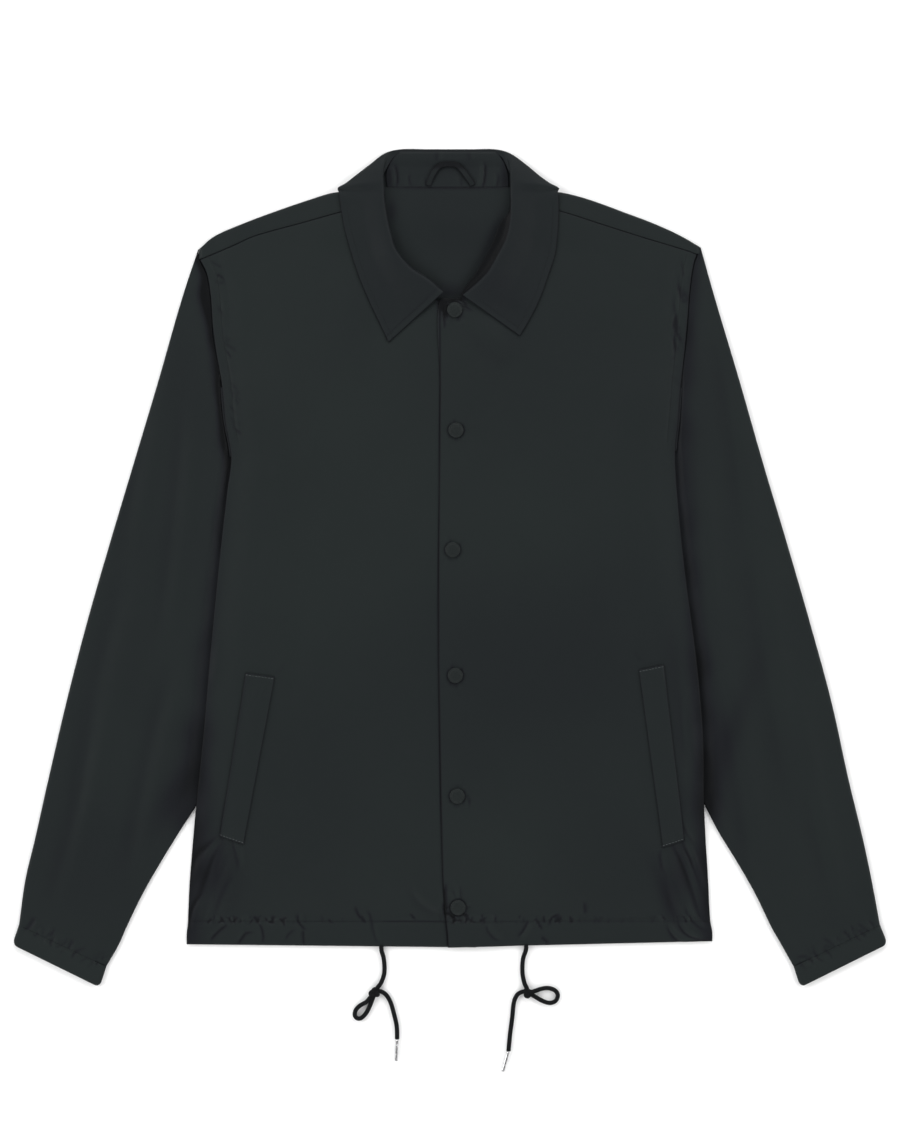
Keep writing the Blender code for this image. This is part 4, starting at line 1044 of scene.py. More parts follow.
under_edge = [(x + LAP, y) for x, y in FRONT_EDGE]
right_front = make_front("shell_right", front_grid(RIGHT_SIDE, under_edge, RIGHT_NECK,
                                                   RIGHT_SHOULDER_SEAM), False)
left_front = make_front("shell_left", front_grid(LEFT_SIDE, FRONT_EDGE, LEFT_NECK,
                                                 LEFT_SHOULDER_SEAM, placket=26.0), True)

# %% [markdown]
# ## Back
#
# The back is one panel that runs over each shoulder to a seam on the front. What shows of it
# is the inside of the neck, the strip on each shoulder and its whole underside. The grid is laid
# on its outer face, and a Solidify modifier gives it its wall inwards.

# %% The back, wrapped over the shoulders
NECK_LEFT, NECK_RIGHT = -73.0, 66.0
APPROACH = (0.25, 0.5, 0.7, 0.84, 0.93, 0.98)


def dense(points, steps=12):
    """Many points on the smooth curve, for reading one coordinate off at another."""
    return curve(points, np.arange(0.0, len(points) - 1 + 1e-9, 1.0 / steps))


def make_back():
    x_marks = np.unique(np.concatenate([
        np.linspace(-241, -73, 43), np.linspace(-73, 66, 57), np.linspace(66, 240, 44)]))
    folds = np.concatenate([dense(RIGHT_SHOULDER_FOLD), dense(LEFT_SHOULDER_FOLD)])
    seams = np.concatenate([dense(RIGHT_SHOULDER_SEAM), dense(LEFT_SHOULDER_SEAM)])
    in_neck = (x_marks > NECK_LEFT + 1.0) & (x_marks < NECK_RIGHT - 1.0)
    crest_y = np.where(in_neck, NECK_SEAM_Y - GAP, np.interp(x_marks, folds[:, 0], folds[:, 1]))
    seam_y = np.where(in_neck, crest_y - 8.0, np.interp(x_marks, seams[:, 0], seams[:, 1]) + 0.4)
    side_rows = np.concatenate([np.arange(0, 3, 0.34), np.arange(3, 8.5, 0.1), np.arange(8.5, 14.2, 0.12)])
    shares = (x_marks - x_marks[0]) / (x_marks[-1] - x_marks[0])
    body = between(curve(RIGHT_SIDE, side_rows), curve(LEFT_SIDE, side_rows), shares)
    shaped = smooth_step((side_rows - 9.2) / (14.9 - 9.2))
    rise = crest_y - RIGHT_SHOULDER_FOLD[0][1]
    body[..., 1] += rise[None, :] * shaped[:, None] * 0.93
    body = np.dstack([body, back_under(body[..., 0], body[..., 1])])
    crest, seam = np.column_stack([x_marks, crest_y]), np.column_stack([x_marks, seam_y])
    low = back_under(*crest.T)
    radius = 0.5 * (plain_front_under(*seam.T) + CLOTH - low)
    toward = unit(seam - crest)
    turned = []
    for angle in np.linspace(-0.5 * math.pi, 0.5 * math.pi, 9):
        flat = crest + toward * ((1.0 - math.cos(angle)) * radius)[:, None]
        height = low + radius * (1.0 + math.sin(angle))
        flat = np.where(in_neck[:, None], crest, flat)
        turned.append(np.column_stack([flat, np.where(in_neck, low, height)]))
    start = crest + toward * radius[:, None]
    for share in np.linspace(0.12, 1.0, 9):
        flat = start + (seam - start) * share
        level = plain_front_under(*flat.T) + CLOTH
        level = np.where(in_neck, low, level + 0.3 * rounded((1.0 - share) * 20.0, 2.0) - 0.3)
        turned.append(np.column_stack([flat, level]))
    turned = np.array(turned)
    approach = np.array([body[-1] + (turned[0] - body[-1]) * share for share in APPROACH])
    approach[..., 2] = back_under(approach[..., 0], approach[..., 1])
    points = np.concatenate([body, approach, turned])
    rows, columns = points.shape[:2]
    fold_row = len(body) + len(APPROACH)
    bm, key = number_grid(rows, columns)
    spots = points.reshape(-1, 3)
    spare = []
    for face in bm.faces:
        row, column = divmod(min(vert[key] for vert in face.verts), columns)
        if row >= fold_row and (in_neck[column] or in_neck[column + 1]):
            spare.append(face)
    for vert in bm.verts:
        vert.co = spots[vert[key]]
    bmesh.ops.delete(bm, geom=spare, context="FACES")
    bmesh.ops.reverse_faces(bm, faces=bm.faces[:])
    places = np.column_stack([spots[:, 0], spots[:, 1] + 0.5 * spots[:, 2]])
    paint(bm, key, shade_at(spots[:, 0], spots[:, 1], BACK_PATCHES), lambda numbers: places[numbers])
    skin_wall(finish_mesh("shell_back", bm, nylon, ["back"]), 0.9)
    laid["shell_back"] = points
    print("shell_back: %d by %d points" % (rows, columns))


# Painted shade inside the neck: over the back, beside each end of the collar, deep in the neck above where
# the fronts meet, and a dark line along the neck seam under the band.
BACK_PATCHES = table(Patch, [
    (0, 320, 60, 60, 0, 0.16), (-56, 343, 5, 10, 0, 0.6), (40, 318, 5, 30, -24, 0.35),
    (0, 266, 14, 7, 0, 0.5), (0, 364.6, 60, 1.0, 0, 0.9),
])
make_back()

# %% [markdown]
# ## Sleeves
#
# A laid sleeve is a flattened tube. Its outer edge is a soft fold, and its inner half goes down
# under the side of the body. Each ring of the tube is worked out across the sleeve, upper side
# first, and the rings are joined by extruding the first one along.

# %% Sleeve lines
RIGHT_SLEEVE_OUTER = [
    (-242.5, 304), (-258, 257), (-280, 180), (-303, 103), (-326, 26), (-348, -50), (-368, -127),
    (-386, -204), (-399, -262), (-408, -300), (-414, -343)]
RIGHT_SLEEVE_INNER = [
    (-211.5, 106), (-196, 81), (-188, 50), (-185, 7), (-188, -41), (-195, -94), (-205, -146),
    (-222, -192), (-240, -223), (-260, -254), (-279, -285), (-296, -315), (-311, -346), (-318, -362),
    (-330, -383)]
LEFT_SLEEVE_OUTER = [
    (241.5, 305), (255, 257), (278, 180), (300, 103), (323, 26), (345, -50), (366, -127), (383, -204),
    (397, -262), (405, -300), (413, -343)]
LEFT_SLEEVE_INNER = [
    (217.5, 111), (203, 86), (194, 55), (190, 7), (192, -41), (198, -94), (209, -146), (227, -194),
    (243, -225), (258, -254), (277, -285), (294, -315), (309, -346), (317, -360), (330, -383)]
SLEEVE_RIM, SLEEVE_CROWN, SLEEVE_INNER = 3.6, 5.4, 4.2
FALL = 15.0
SLEEVE_CREASES = table(Crease, [
    (-262, 225, -300, 20, 3, 9, 0.7), (-246, 150, -268, -60, -3, 8, 0.6),
    (-300, -20, -345, -240, 4, 11, 0.7), (-258, -110, -296, -290, 3, 9, 0.8),
    (-330, -150, -372, -320, -3, 8, 0.6), (268, 215, 292, 40, -3, 9, 0.7), (246, 120, 262, -80, 3, 8, 0.6),
    (305, 10, 340, -210, 4, 11, 0.7), (266, -90, 300, -290, -3, 9, 0.8), (338, -120, 378, -320, 3, 8, 0.6),
])
CUFF_LINE_RIGHT = [(-410, -343), (-334, -380)]
CUFF_LINE_LEFT = [(409, -343), (334, -380)]
CUFF_PUCKERS = (puckers(CUFF_LINE_RIGHT, 18, 31, 12, 0.5, 0.4, 1.3)
                + puckers(CUFF_LINE_RIGHT, 16, 32, -9, 0.5, 0.3, 1.2)
                + puckers(CUFF_LINE_LEFT, 18, 33, -12, 0.5, -0.4, 1.3)
                + puckers(CUFF_LINE_LEFT, 16, 34, 9, 0.5, -0.3, 1.2))
# Soft patches of painted light (negative amounts) and painted shade (positive); the strongest are the shade
# of a fold low on each sleeve.
SLEEVE_PATCHES = table(Patch, [
    (-262, 190, 26, 90, 14, 0.10), (-300, 40, 30, 120, 14, 0.06), (-262, -215, 14, 46, -34, 0.5),
    (-300, -100, 26, 110, 14, 0.10), (-345, -285, 46, 60, 0, 0.2), (-390, -170, 20, 90, 14, -0.04),
    (262, 180, 12, 110, -10, 0.05), (262, -180, 12, 90, -20, 0.45), (310, -10, 40, 150, -14, -0.16),
    (350, -250, 36, 90, -14, -0.10),
])


def armhole_curve(side, side_points):
    spots = curve(side_points, np.linspace(len(side_points) - 1, UNDERARM, 40))
    tip = RIGHT_SHOULDER_FOLD[0] if side < 0 else LEFT_SHOULDER_FOLD[-1]
    spots = np.concatenate([[tip], spots])
    return spots + sideways(spots) * side * 1.5 * CUT_GAP


def flattened(flat, upper, lower, tones):
    """One ring of a flattened tube: over its upper side, then back along its lower side."""
    top, under = np.column_stack([flat, upper]), np.column_stack([flat, lower])[-2:0:-1]
    return np.concatenate([top, under]), np.concatenate([tones, np.zeros(len(under))])


def sleeve_ring(start, end, place, bow):
    """Outline of the flattened sleeve across its width, its upper side first."""
    width = np.linalg.norm(end - start)
    way = (end - start) / width
    height = SLEEVE_RIM + (SLEEVE_CROWN - SLEEVE_RIM) * smooth_step(place / 0.14)
    inner_height = TUCK_HEIGHT + (SLEEVE_INNER - TUCK_HEIGHT) * smooth_step((place - 0.66) / 0.2)
    trial = np.linspace(0.0, 1.0, 200)
    x, y = (between(start, end, trial) + bow(trial)).T
    out = np.abs(x) > side_x(x, y)
    tuck = width * (trial[out][-1] if out.any() else 0.0)
    outer_round, inner_round = 0.5 * height, 0.5 * inner_height
    fall_end = min(tuck - 2.0, width - 2.2 * inner_round)
    fall_start = fall_end - FALL
    quarter = np.linspace(0.0, 0.5 * math.pi, 5)
    marks = np.concatenate([
        (1.0 - np.cos(quarter)) * outer_round,
        outer_round + (fall_start - outer_round) * np.linspace(0.0, 1.0, 47)[1:] ** 1.25,
        np.linspace(fall_start, fall_end, 7)[1:],
        np.linspace(fall_end, width - inner_round, 9)[1:],
        width - (1.0 - np.sin(quarter[1:])) * inner_round])
    flat = start + way * marks[:, None] + bow(marks / width)
    x, y = flat.T
    share = smooth_step((marks - fall_start) / FALL)
    middle = 0.5 * (height + (inner_height - height) * share)
    reach = np.minimum(rounded(marks, outer_round), rounded(width - marks, inner_round))
    wide, fine = ridges(x, y, SLEEVE_CREASES), ridges(x, y, CUFF_PUCKERS)
    # Painted shade in the troughs of the creases and puckers, a little painted light on their ridges, and
    # the painted shadow beside the body's edge.
    tones = (painted_fold_shading(wide, 0.2) + painted_fold_shading(fine, 0.55)) * reach + side_shadow(x, y)
    upper = middle + reach * middle + (wide + fine) * reach * (1.0 - share)
    return flattened(flat, upper, middle - reach * middle, tones)

# %% The two sleeves
def make_sleeve(side, sign, body, outer, inner):
    armhole = armhole_curve(sign, body)
    straight = np.array([outer[0], inner[0]], float)
    total = lengths(outer)[-1]
    places = stops(total, [(20.0, 2.0), (60.0, 3.0), (total - 50.0, 4.6), (total, 2.0)], (0.3, 1.0)) / total
    rings, tones = [], []
    for place in places:

        def bow(shares):
            return (along(armhole, shares) - between(*straight, shares)) * max(0.0, 1.0 - place / 0.3) ** 2

        ring, ring_tones = sleeve_ring(along(outer, place), along(inner, place), place, bow)
        rings.append(ring)
        tones.append(ring_tones)
    rings = np.array(rings)
    shade = shade_at(rings[..., 0], rings[..., 1], SLEEVE_PATCHES) + np.array(tones)
    laid["shell_sleeve_" + side] = np.concatenate([rings, rings[:, :1]], axis=1)
    loft_rings("shell_sleeve_" + side, rings, nylon, ["sleeve_" + side], shade, wall=0.6)


make_sleeve("right", -1, RIGHT_SIDE, RIGHT_SLEEVE_OUTER, RIGHT_SLEEVE_INNER)
make_sleeve("left", 1, LEFT_SIDE, LEFT_SLEEVE_OUTER, LEFT_SLEEVE_INNER)

# %% [markdown]
# ## Cuffs
#
# Each sleeve ends in a flat casing, turned up and stitched, with short puckers that run into it
# from the stitching. It is the same kind of tube, with a wall that turns in at the hand.

# %% The two cuffs
RIGHT_CUFF_EDGE = [(-420.5, -362), (-336.5, -403.2)]
LEFT_CUFF_EDGE = [(420.5, -361.5), (336.5, -403.2)]
CUFF_HEIGHT = 5.4
CUFF_SHARES = (0.0, 0.015, 0.03, 0.05, 0.08, 0.11, 0.14, 0.19, 0.24, 0.3, 0.36, 0.43, 0.5, 0.58, 0.66,
               0.74, 0.8, 0.85, 0.9, 0.94, 0.97, 0.99, 1.0)
CUFF_CORNER = 9.0


def make_cuff(side, outer, inner, edge):
    seam = np.array([outer[-1], inner[-1]], float)
    hand = np.array(edge, float)
    seam = seam + unit(hand[0] - seam[0]) * 0.1
    rings, tones = [], []
    for share in CUFF_SHARES:
        start, end = seam * (1.0 - share) + hand * share
        width = np.linalg.norm(end - start)
        corner = CUFF_CORNER * 0.5 * (1.0 - rounded(1.0 - share, 0.3))
        height = CUFF_HEIGHT - 1.6 * (1.0 - rounded(1.0 - share, 0.08)) - 0.5 * (1.0 - rounded(share, 0.03))
        rim = 0.5 * height
        low, high = corner, width - corner
        turn_in = (1.0 - np.cos(np.linspace(0.0, 0.5 * math.pi, 5))) * rim
        marks = np.concatenate([low + turn_in, np.linspace(low + rim, high - rim, 76)[1:-1],
                                high - turn_in[::-1]])
        flat = start + (end - start) / width * marks[:, None]
        reach = np.minimum(rounded(marks - low, rim), rounded(high - marks, rim))
        wave = ridges(*flat.T, CUFF_PUCKERS)
        middle = 0.5 * CUFF_HEIGHT
        # Painted shade in the troughs of the puckers and along the seam to the sleeve, a little painted
        # light on their ridges; the whole cuff is a little lighter.
        tone = painted_fold_shading(wave, 0.6) * reach + 0.3 * (1.0 - smooth_step(share / 0.035)) - 0.12
        ring, ring_tones = flattened(flat, middle + reach * rim + wave * reach, middle - reach * rim, tone)
        rings.append(ring)
        tones.append(ring_tones)
    tones = np.array(tones)
    tones[:, len(marks):] -= 0.12
    rings = np.array(rings)
    laid["shell_cuff_" + side] = np.concatenate([rings, rings[:, :1]], axis=1)
    loft_rings("shell_cuff_" + side, rings, nylon, ["cuff_" + side], tones, wall=1.0)


make_cuff("right", RIGHT_SLEEVE_OUTER, RIGHT_SLEEVE_INNER, RIGHT_CUFF_EDGE)
make_cuff("left", LEFT_SLEEVE_OUTER, LEFT_SLEEVE_INNER, LEFT_CUFF_EDGE)

# %% [markdown]
# ## Collar
#
# The collar is one strip of doubled cloth. Each station of the table is a cut across it: the neck
# seam, the roll, the widest place and the free edge. Smooth curves run through the cuts both
# ways. At the back of the neck the leaf turns under the back, which lies on it.

# %% Stations round the neck
Station = namedtuple(
    "Station", "seam_x seam_y seam_z roll_x roll_y roll_z turn_x turn_y edge_x edge_y wrap")
COLLAR = table(Station, [
    (-12.0, 259.5, 5.6, -6, 264, 9.0, -35, 238, -59, 216, 0),
    (-26.0, 269.5, 5.8, -20, 276, 10.0, -46, 251, -66, 231, 0),
    (-41.5, 279.5, 6.0, -38, 288, 10.4, -60, 269, -77, 254, 0),
    (-58.0, 300.0, 6.3, -52, 305, 10.6, -72, 289, -87, 278, 0),
    (-64.5, 314.0, 6.5, -57, 320, 10.6, -78, 306, -94, 299, 0),
    (-69.5, 334.0, 6.7, -61, 338, 10.5, -82, 325, -100, 320, 0),
    (-71.5, 347.0, 6.9, -63.5, 356, 10.2, -86, 347, -104.5, 343, 0),
    (-70.5, 355.0, 6.7, -63.5, 361, 10.0, -90, 360, -106.6, 362.4, 0.5),
    (-69.5, 364.0, 6.4, -64.0, 369, 9.8, -107.6, 363.6, -104, 359, 1),
    (-68.0, 372.0, 5.6, -64.3, 376, 9.0, -100.5, 367.8, -98, 352, 1),
    (-63.0, 379.0, 4.4, -64, 385, 7.6, -92, 374.5, -100, 351, 1),
    (-58.0, 388.0, 3.2, -61, 394, 5.2, -76, 387, -88, 347, 1),
    (-53.0, 394.0, 2.7, -57, 398.5, 3.4, -62, 397.5, -76, 345, 1),
    (-44.0, 396.0, 2.55, -46, 400, 2.7, -47, 401.2, -54, 344, 1),
    (-22.0, 396.0, 2.55, -22, 400, 2.55, -22, 401.2, -27, 344, 1),
    (0.0, 396.0, 2.55, 0, 400, 2.55, 0, 401.2, 0, 344, 1),
    (21.0, 396.0, 2.55, 21, 400, 2.55, 21, 401.2, 26, 344, 1),
    (41.0, 396.0, 2.55, 42, 400, 2.7, 43, 401.2, 52, 344, 1),
    (49.0, 394.0, 2.7, 52, 398.5, 3.4, 57, 397.5, 72, 345, 1),
    (53.0, 388.0, 3.2, 56, 394, 5.2, 72, 387, 84, 347, 1),
    (57.0, 379.0, 4.4, 58, 385, 7.6, 87, 374.5, 96, 351, 1),
    (62.0, 372.0, 5.6, 58.3, 376, 9.0, 96.5, 367.8, 94, 352, 1),
    (63.5, 364.0, 6.4, 58.4, 369, 9.8, 104.2, 363.6, 100.6, 359, 1),
    (64.0, 355.0, 6.7, 58.4, 360, 10.0, 87, 360, 103.2, 362.4, 0.5),
    (64.0, 347.0, 6.9, 58.5, 354, 10.2, 82, 347, 104.5, 343, 0),
    (49.0, 331.5, 6.4, 58, 336, 10.6, 82, 325, 103.5, 322, 0),
    (41.0, 312.5, 6.2, 54, 316, 10.8, 78, 306, 101, 301, 0),
    (34.0, 299.0, 6.2, 46, 300, 10.8, 72, 288, 94, 279, 0),
    (23.0, 280.5, 6.4, 36, 283, 10.6, 62, 267, 86, 257, 0),
    (14.5, 269.5, 6.6, 23, 270, 10.2, 50, 251, 76, 237, 0),
    (9.0, 261.0, 6.8, 12, 261, 9.6, 40, 240, 67, 222, 0),
])
COLLAR_CLOTH = 1.5


def front_height(x, y):
    """Top of the fastened fronts, without their fine puckers."""
    x, y = np.atleast_1d(np.asarray(x, float)), np.atleast_1d(np.asarray(y, float))
    lift = (CLOTH + GAP) * (1.0 - smooth_step((x - LAP) / 45.0)) * (x > FRONT_EDGE[-1][0] - 4.0)
    extra = CASING * (1.0 - smooth_step((y - CASING_TOP - 4.0) / 6.0))
    lift = lift * (1.0 + extra / (CLOTH + GAP))
    return plain_front_under(x, y) + lift + CLOTH + casing(y) + ridges(x, y, WIDE_CREASES)


def collar_section(station):
    """Middle line of the collar's cloth from its neck edge over the roll to its free edge."""
    seam = np.array([station.seam_x, station.seam_y])
    roll = np.array([station.roll_x, station.roll_y])
    turn = np.array([station.turn_x, station.turn_y])
    edge = np.array([station.edge_x, station.edge_y])
    reach = np.linalg.norm(turn - roll)
    away = (turn - roll) / reach
    half = 0.5 * COLLAR_CLOTH
    seam_z = station.seam_z
    if seam[0] > 0.0 and not station.wrap:
        seam_z = max(seam_z, front_height(*seam)[0] + GAP + half + 0.15)
    roll_low = 0.55 * seam_z + 0.45 * station.roll_z
    crest = roll + away * min(2.4, 0.5 * reach)
    middle = seam + (roll - seam) * 0.6
    points = [(*seam, seam_z), (*middle, 0.75 * seam_z + 0.25 * roll_low),
              (*roll, 0.5 * (roll_low + station.roll_z)), (*crest, station.roll_z)]
    if station.wrap == 1:
        low, high = half, station.roll_z
        radius = min(0.5 * (high - low), 2.6)
        inward = (edge - turn) / np.linalg.norm(edge - turn)
        outermost = turn - away * radius
        for share in (0.35, 0.75):
            points.append((*(crest + (outermost - crest) * share), high))
        points.append((*(turn - away * radius * 0.3), low + 0.775 * (high - low)))
        points.append((*turn, 0.5 * (low + high)))
        points.append((*(turn + inward * radius * 0.3), low + 0.175 * (high - low)))
        start = turn + inward * radius
        for share in (0.0, 0.5, 1.0):
            points.append((*(start + (edge - start) * share), low))
        return points
    shares = (0.15, 0.32, 0.5, 0.66, 0.8, 0.9, 0.96, 1.0)
    if station.wrap:
        shares = (0.3, 0.66, 0.9, 0.94, 0.96, 0.975, 0.99, 1.0)
    for share in shares:
        spot = crest + (edge - crest) * share
        lies = front_height(*spot)[0] + GAP + half + 0.1
        bend = lies + (station.roll_z - lies) * (1.0 - smooth_step(share * 1.6))
        points.append((*spot, max(lies, bend)))
    return points


# %% The collar
def make_collar():
    sections = np.array([collar_section(station) for station in COLLAR])
    rows = places_for(sections, [(30.0, 1.6), (700.0, 2.6)])
    fine = curve(sections, rows)
    across = fine.swapaxes(0, 1)
    run = lengths(across)
    marks = np.interp(stops(run[-1], [(14.0, 0.9), (40.0, 1.8), (200.0, 1.2)]), run, np.arange(len(run)))
    points = curve(across, marks).swapaxes(0, 1)
    # Painted shade on the collar's stand, between the neck seam and the roll at both fronts, over twice as
    # deep on the side of positive x, where the stand faces into the neck; the whole collar is also a little
    # darker.
    folded = 1.0 - smooth_step((marks - 1.4) / 1.0)
    at_front = np.maximum(1.0 - smooth_step((rows - 6.5) / 1.0), smooth_step((rows - 23.0) / 1.5) * 2.3)
    shade = 0.26 + folded[None, :] * at_front[:, None] * 1.5
    shade += shade_at(points[..., 0], points[..., 1], COLLAR_PATCHES)
    relief = ridges(points[..., 0], points[..., 1], COLLAR_CREASES)
    points[..., 2] += relief * smooth_step((marks - 4.0) / 2.0)
    points[..., 2] = np.maximum(points[..., 2], 0.5 * COLLAR_CLOTH + 0.02)
    from_end = np.minimum(lengths(points)[:, None], lengths(points[::-1])[::-1][:, None])
    # Painted shade along the topstitching 6 mm in from both ends of the collar, and a little painted light
    # between it and the edge.
    shade += 0.3 * np.exp(-((from_end - 6.0) / 0.8) ** 2) - 0.12 * smooth_step((6.0 - from_end) / 1.5)
    panel = make_panel("shell_collar", points, COLLAR_CLOTH, ["collar"], shade, 0.9)
    return panel, int((rows < 6.3).sum()), int((rows <= 23.7).sum())


COLLAR_CREASES = table(Crease, [
    (38, 250, 46, 246, 0, 1.8, 0.25), (-50, 262, -40, 255, 1, 3.5, 0.25), (66, 262, 84, 246, 3, 6, 0.3),
    (-92, 312, -84, 262, 3, 7, 0.3), (86, 330, 96, 280, -3, 7, 0.3), (-54, 228, -44, 238, 1, 3, 0.2),
])
# Soft patches of painted light (negative amounts) and painted shade (positive) on the collar.
COLLAR_PATCHES = table(Patch, [
    (-92, 330, 12, 60, 10, -0.10), (90, 320, 12, 60, -10, -0.05), (48, 262, 22, 14, -40, 0.10),
])
collar, collar_front_end, collar_back_start = make_collar()

# %% The band inside the back of the neck
NECK_BAND = [[(-60.5, 365.2), (56.5, 365.2)], [(-61.5, 372), (56.5, 372)], [(-61.5, 380), (55.5, 380)],
             [(-58.0, 388), (52.5, 388)], [(-53.0, 394.8), (48.0, 394.8)], [(-47.5, 399.8), (43.5, 399.8)]]
# Painted shade at both ends of the band, beside the collar, and a little across its middle.
BAND_PATCHES = table(Patch, [
    (-58, 376, 4, 14, 0, 0.7), (53, 374, 4, 16, 0, 0.8), (0, 385, 30, 8, 0, 0.15),
])
BAND_CREASES = table(Crease, [
    (-54, 367, -56, 386, 1, 1.7, 0.8), (-40, 366, -41.5, 377, -1, 1.4, 0.4),
    (28.5, 366, 30.5, 388, 1, 1.6, 0.9), (42, 366, 43, 378, 1, 1.4, 0.5), (-26, 366, -27, 373, 0, 1.6, 0.3),
    (8, 366, 7, 374, 0, 1.6, 0.3), (-8, 399, -8, 391, 0, 2.4, 0.25), (22, 399, 23, 392, 0, 2.2, 0.25),
])


def make_neck_band():
    rungs = np.array(NECK_BAND, float)
    ends = curve(rungs, places_for(rungs, [(40.0, 1.1)]))
    plan = between(ends[:, 0], ends[:, 1], stops(113.0, [(113.0, 1.5)]) / 113.0)
    x, y = plan[..., 0], plan[..., 1]
    level = NECK_LIFT + 0.6 * CLOTH - 0.12
    level = level + 1.15 * smooth_step((y - 384.0) / 9.0) - 0.6 * smooth_step((y - 397.0) / 3.0)
    relief = ridges(x, y, BAND_CREASES)
    # Painted shade in the troughs of the band's creases, a little painted light on their ridges, and the
    # painted shade of its patches.
    shade = 0.14 + painted_fold_shading(relief, 1.3) + shade_at(x, y, BAND_PATCHES)
    points = np.dstack([plan, level + relief])
    make_panel("shell_neck_band", points, 0.8 * CLOTH, ["collar_stand"], shade, 0.6)


make_neck_band()

# %% Hanger loop
HANGER_ROUTE = [
    (-21, 366.8), (-20.2, 369.5), (-16.5, 377.5), (-12.6, 383.4), (-8, 386.4), (0, 387.2), (7, 386),
    (11.6, 381.8), (16.4, 375.4), (20.6, 369.4), (21.8, 366.8)]
HANGER_WIDTH = 5.4


def make_hanger():
    shares = np.linspace(0.0, 1.0, 60)
    spots = along(HANGER_ROUTE, shares)
    across = stops(HANGER_WIDTH, [(HANGER_WIDTH, 0.6)], edge=(0.15, 0.5)) / HANGER_WIDTH - 0.5
    plan = spots[:, None] + sideways(spots)[:, None] * across[None, :, None] * HANGER_WIDTH
    y = plan[..., 1]
    level = NECK_LIFT + CLOTH + GAP + 0.5 * CLOTH + 0.8 * smooth_step((y - 368.0) / 8.0)
    sway = 0.25 * np.sin(shares * 9.0) * rounded(np.minimum(shares, 1 - shares), 0.2)
    level = level + sway[:, None]
    shade = 0.1 + 1.0 * smooth_step((y - 381.0) / 4.0)
    make_panel("shell_hanger", np.dstack([plan, level]), CLOTH * 0.8, ["hanger_loop"], shade, 0.4, tape)


make_hanger()

# %% [markdown]
# ## Pocket welts and press studs
#
# A welt is a folded strip set over the slanted opening of a pocket, and stitched down across
# both ends. The studs are clenched through the placket and painted to match the cloth.

# %% Welts
RIGHT_WELT = [(-196, -101), (-168, -105), (-221, -258), (-198, -266)]
LEFT_WELT = [(181, -98), (205, -93), (204, -269), (225, -262)]
WELT_STITCH = 1.9


def make_welt(side, corners, seed):
    top_left, top_right, low_left, low_right = np.array(corners, float)
    draw = np.random.default_rng(seed)
    height, width = np.linalg.norm(top_left - low_left), np.linalg.norm(top_left - top_right)
    bands = [(8.0, 0.6), (18.0, 1.2), (height - 20.0, 2.6), (height - 8.0, 1.2), (height, 0.6)]
    down, over = stops(height, bands) / height, stops(width, [(width, 1.3)]) / width
    plan = between(between(top_left, low_left, down), between(top_right, low_right, down), over)
    x, y = plan[..., 0], plan[..., 1]
    run = down[:, None] * height
    level = front_height(x.ravel(), y.ravel()).reshape(x.shape) + GAP + 0.15 + 0.5 * CLOTH
    for place in (WELT_STITCH, height - WELT_STITCH):
        level = level - 0.2 * np.exp(-((run - place) / 0.8) ** 2)
    for _ in range(14):
        at_u, at_v = draw.uniform(0.1, 0.9), draw.choice([draw.uniform(3, 16), height - draw.uniform(3, 16)])
        level = level + draw.uniform(0.08, 0.3) * np.exp(
            -((over[None, :] - at_u) * width / 1.6) ** 2 - ((run - at_v) / 6.0) ** 2)
    level = level + 0.35 * np.exp(-((over[None, :] - 0.5) * 2.4) ** 2) * np.sin(run / 38.0 + seed) ** 2
    shade = 0.02 + 0.3 * np.exp(-(over[None, :] * width / 3.0) ** 2) * (seed % 2)
    points = np.dstack([plan, level])
    return make_panel("shell_welt_" + side, points, CLOTH, ["pocket_welt_" + side], shade, 0.8)


welts = [make_welt("right", RIGHT_WELT, 51), make_welt("left", LEFT_WELT, 52)]

# %% Studs
STUD_PROFILE = [
    (6.5, 0.0), (7.0, 0.08), (7.3, 0.35), (7.4, 0.7), (7.36, 1.2), (7.1, 1.62), (6.75, 1.82),
    (6.45, 1.86), (6.15, 1.76), (5.95, 1.74), (5.7, 1.86), (5.0, 2.0), (3.6, 2.12), (1.8, 2.18),
    (0.5, 2.2)]


def make_stud(number, centre):
    turn = np.arange(48) * math.tau / 48
    ring = np.column_stack([np.cos(turn), np.sin(turn)])
    rim = centre + ring[::4] * STUD_RADIUS
    floor = max(front_height(rim[:, 0], rim[:, 1]).max(), front_height(*centre)[0]) + GAP
    rings = [np.column_stack([centre + ring * radius, np.full(48, floor + height)])
             for radius, height in STUD_PROFILE]
    loft_rings("cap_%d" % number, rings, stud_paint, ["stud_%d" % number], close=True)


for number, centre in enumerate(STUDS, start=1):
    make_stud(number, np.array(centre))

# %% [markdown]
# ## Seam allowance
#
# Where a sleeve meets the armhole, its raw edge goes in between the front and the back. This
# narrow strip of it closes the seam.

# %% Strips inside the armholes
def make_armhole_strip(name, side, side_points):
    line = armhole_curve(side, side_points)
    line[0] = line[1] + (line[0] - line[1]) * 0.55
    out = sideways(line) * side
    plan = line[:, None] + out[:, None] * np.arange(-4.0, 2.0)[None, :, None]
    level = back_under(plan[..., 0], plan[..., 1]) + CLOTH + 0.5 * GAP
    make_panel(name, np.dstack([plan, level]), 0.16, (), 0.4, 0.3)


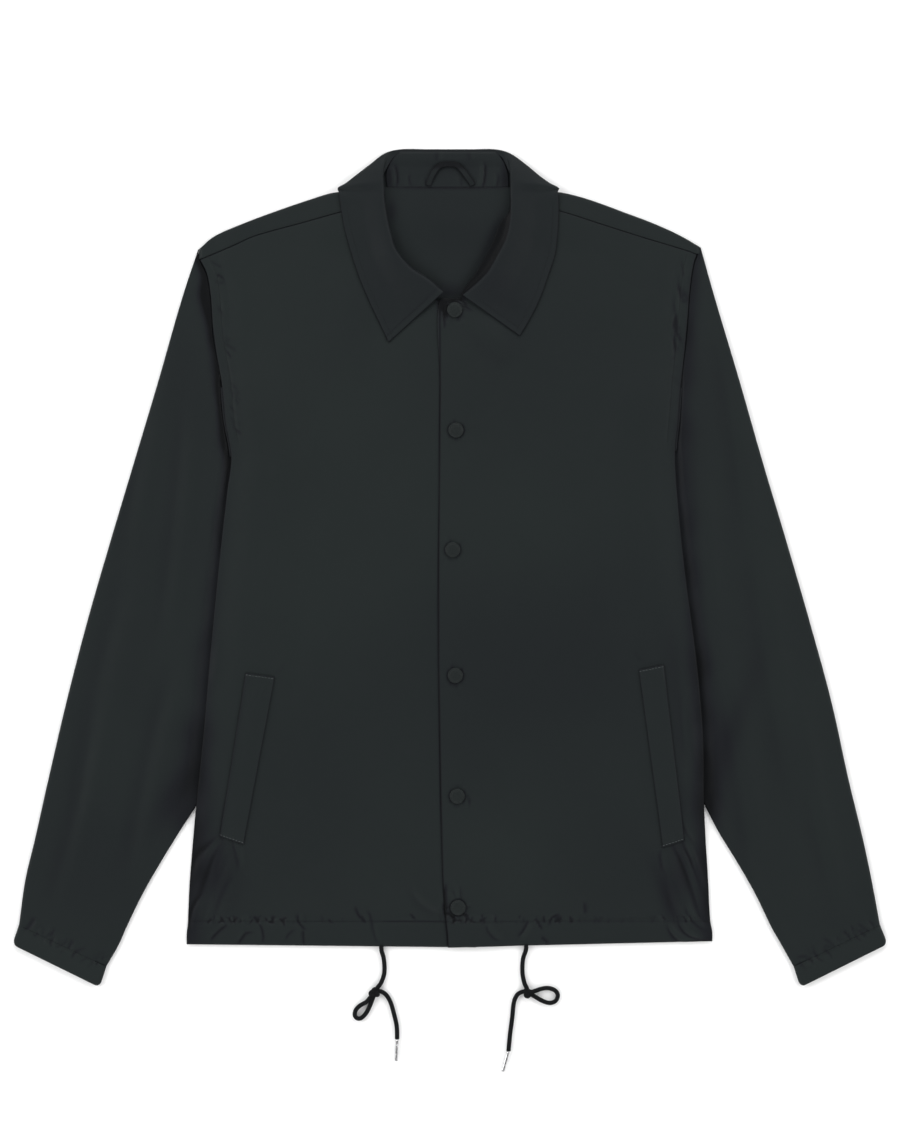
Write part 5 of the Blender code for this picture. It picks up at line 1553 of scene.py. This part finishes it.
make_armhole_strip("seam_armhole_right", -1, RIGHT_SIDE)
make_armhole_strip("seam_armhole_left", 1, LEFT_SIDE)

# %% [markdown]
# ## Topstitching
#
# Rows of stitching run round the armholes, the collar, the hem and the cuffs, and across the ends
# of the welts. The thread matches the cloth, except at the welts, where it is a paler grey.

# %% All rows of stitches
for side, panel in (("right", right_front), ("left", left_front)):
    first_row = int(np.argmax(panel.points[:, -1, 1] > 112.0))
    make_stitches("stitch_front_" + side, [
        line_inside(panel, "first", 23.6), line_inside(panel, "end", 9.0, start=first_row)])

make_stitches("stitch_collar", [
    line_inside(collar, "first", 6.0, start=20), line_inside(collar, "last", 6.0, start=20),
    line_inside(collar, "end", 6.0, end=collar_front_end),
    line_inside(collar, "end", 6.0, start=collar_back_start),
])
for side in ("right", "left"):
    upper = laid["shell_cuff_" + side][4][6:76]
    make_stitches("stitch_cuff_" + side, [(upper, np.tile([0.0, 0.0, 1.0], (len(upper), 1)))])
make_stitches("stitch_welts", [
    line_inside(welt, end, WELT_STITCH) for welt in welts for end in ("first", "last")], pale_thread)

# %% [markdown]
# ## The cut
#
# The jacket was never stretched, so each piece of cloth measures laid what it measured when it
# was cut. The table lists for each piece how it is held, what it rests on and which pieces go
# with it.

# %% How each piece was cut
Sheet = namedtuple("Sheet", "piece held rests_on with_pieces")


SHEETS = table(Sheet, [
    ("shell_right", "laid", ["back"], ["stitch_front_right"]),
    ("shell_left", "laid", ["front_right"], ["stitch_front_left"]),
    ("shell_back", "laid", ["sleeve_right", "sleeve_left", "collar"], []),
    ("shell_sleeve_right", "laid", [], ["seam_armhole_right"]),
    ("shell_sleeve_left", "laid", [], ["seam_armhole_left"]),
    ("shell_cuff_right", "gathered", [], ["stitch_cuff_right"]),
    ("shell_cuff_left", "gathered", [], ["stitch_cuff_left"]),
    ("shell_collar", "folded", ["front_right", "front_left"], ["stitch_collar"]),
    ("shell_neck_band", "laid", ["collar"], ["shell_hanger"]),
    ("shell_welt_right", "laid", ["front_right"], ["stitch_welts"]),
    ("shell_welt_left", "laid", ["front_left"], []),
])
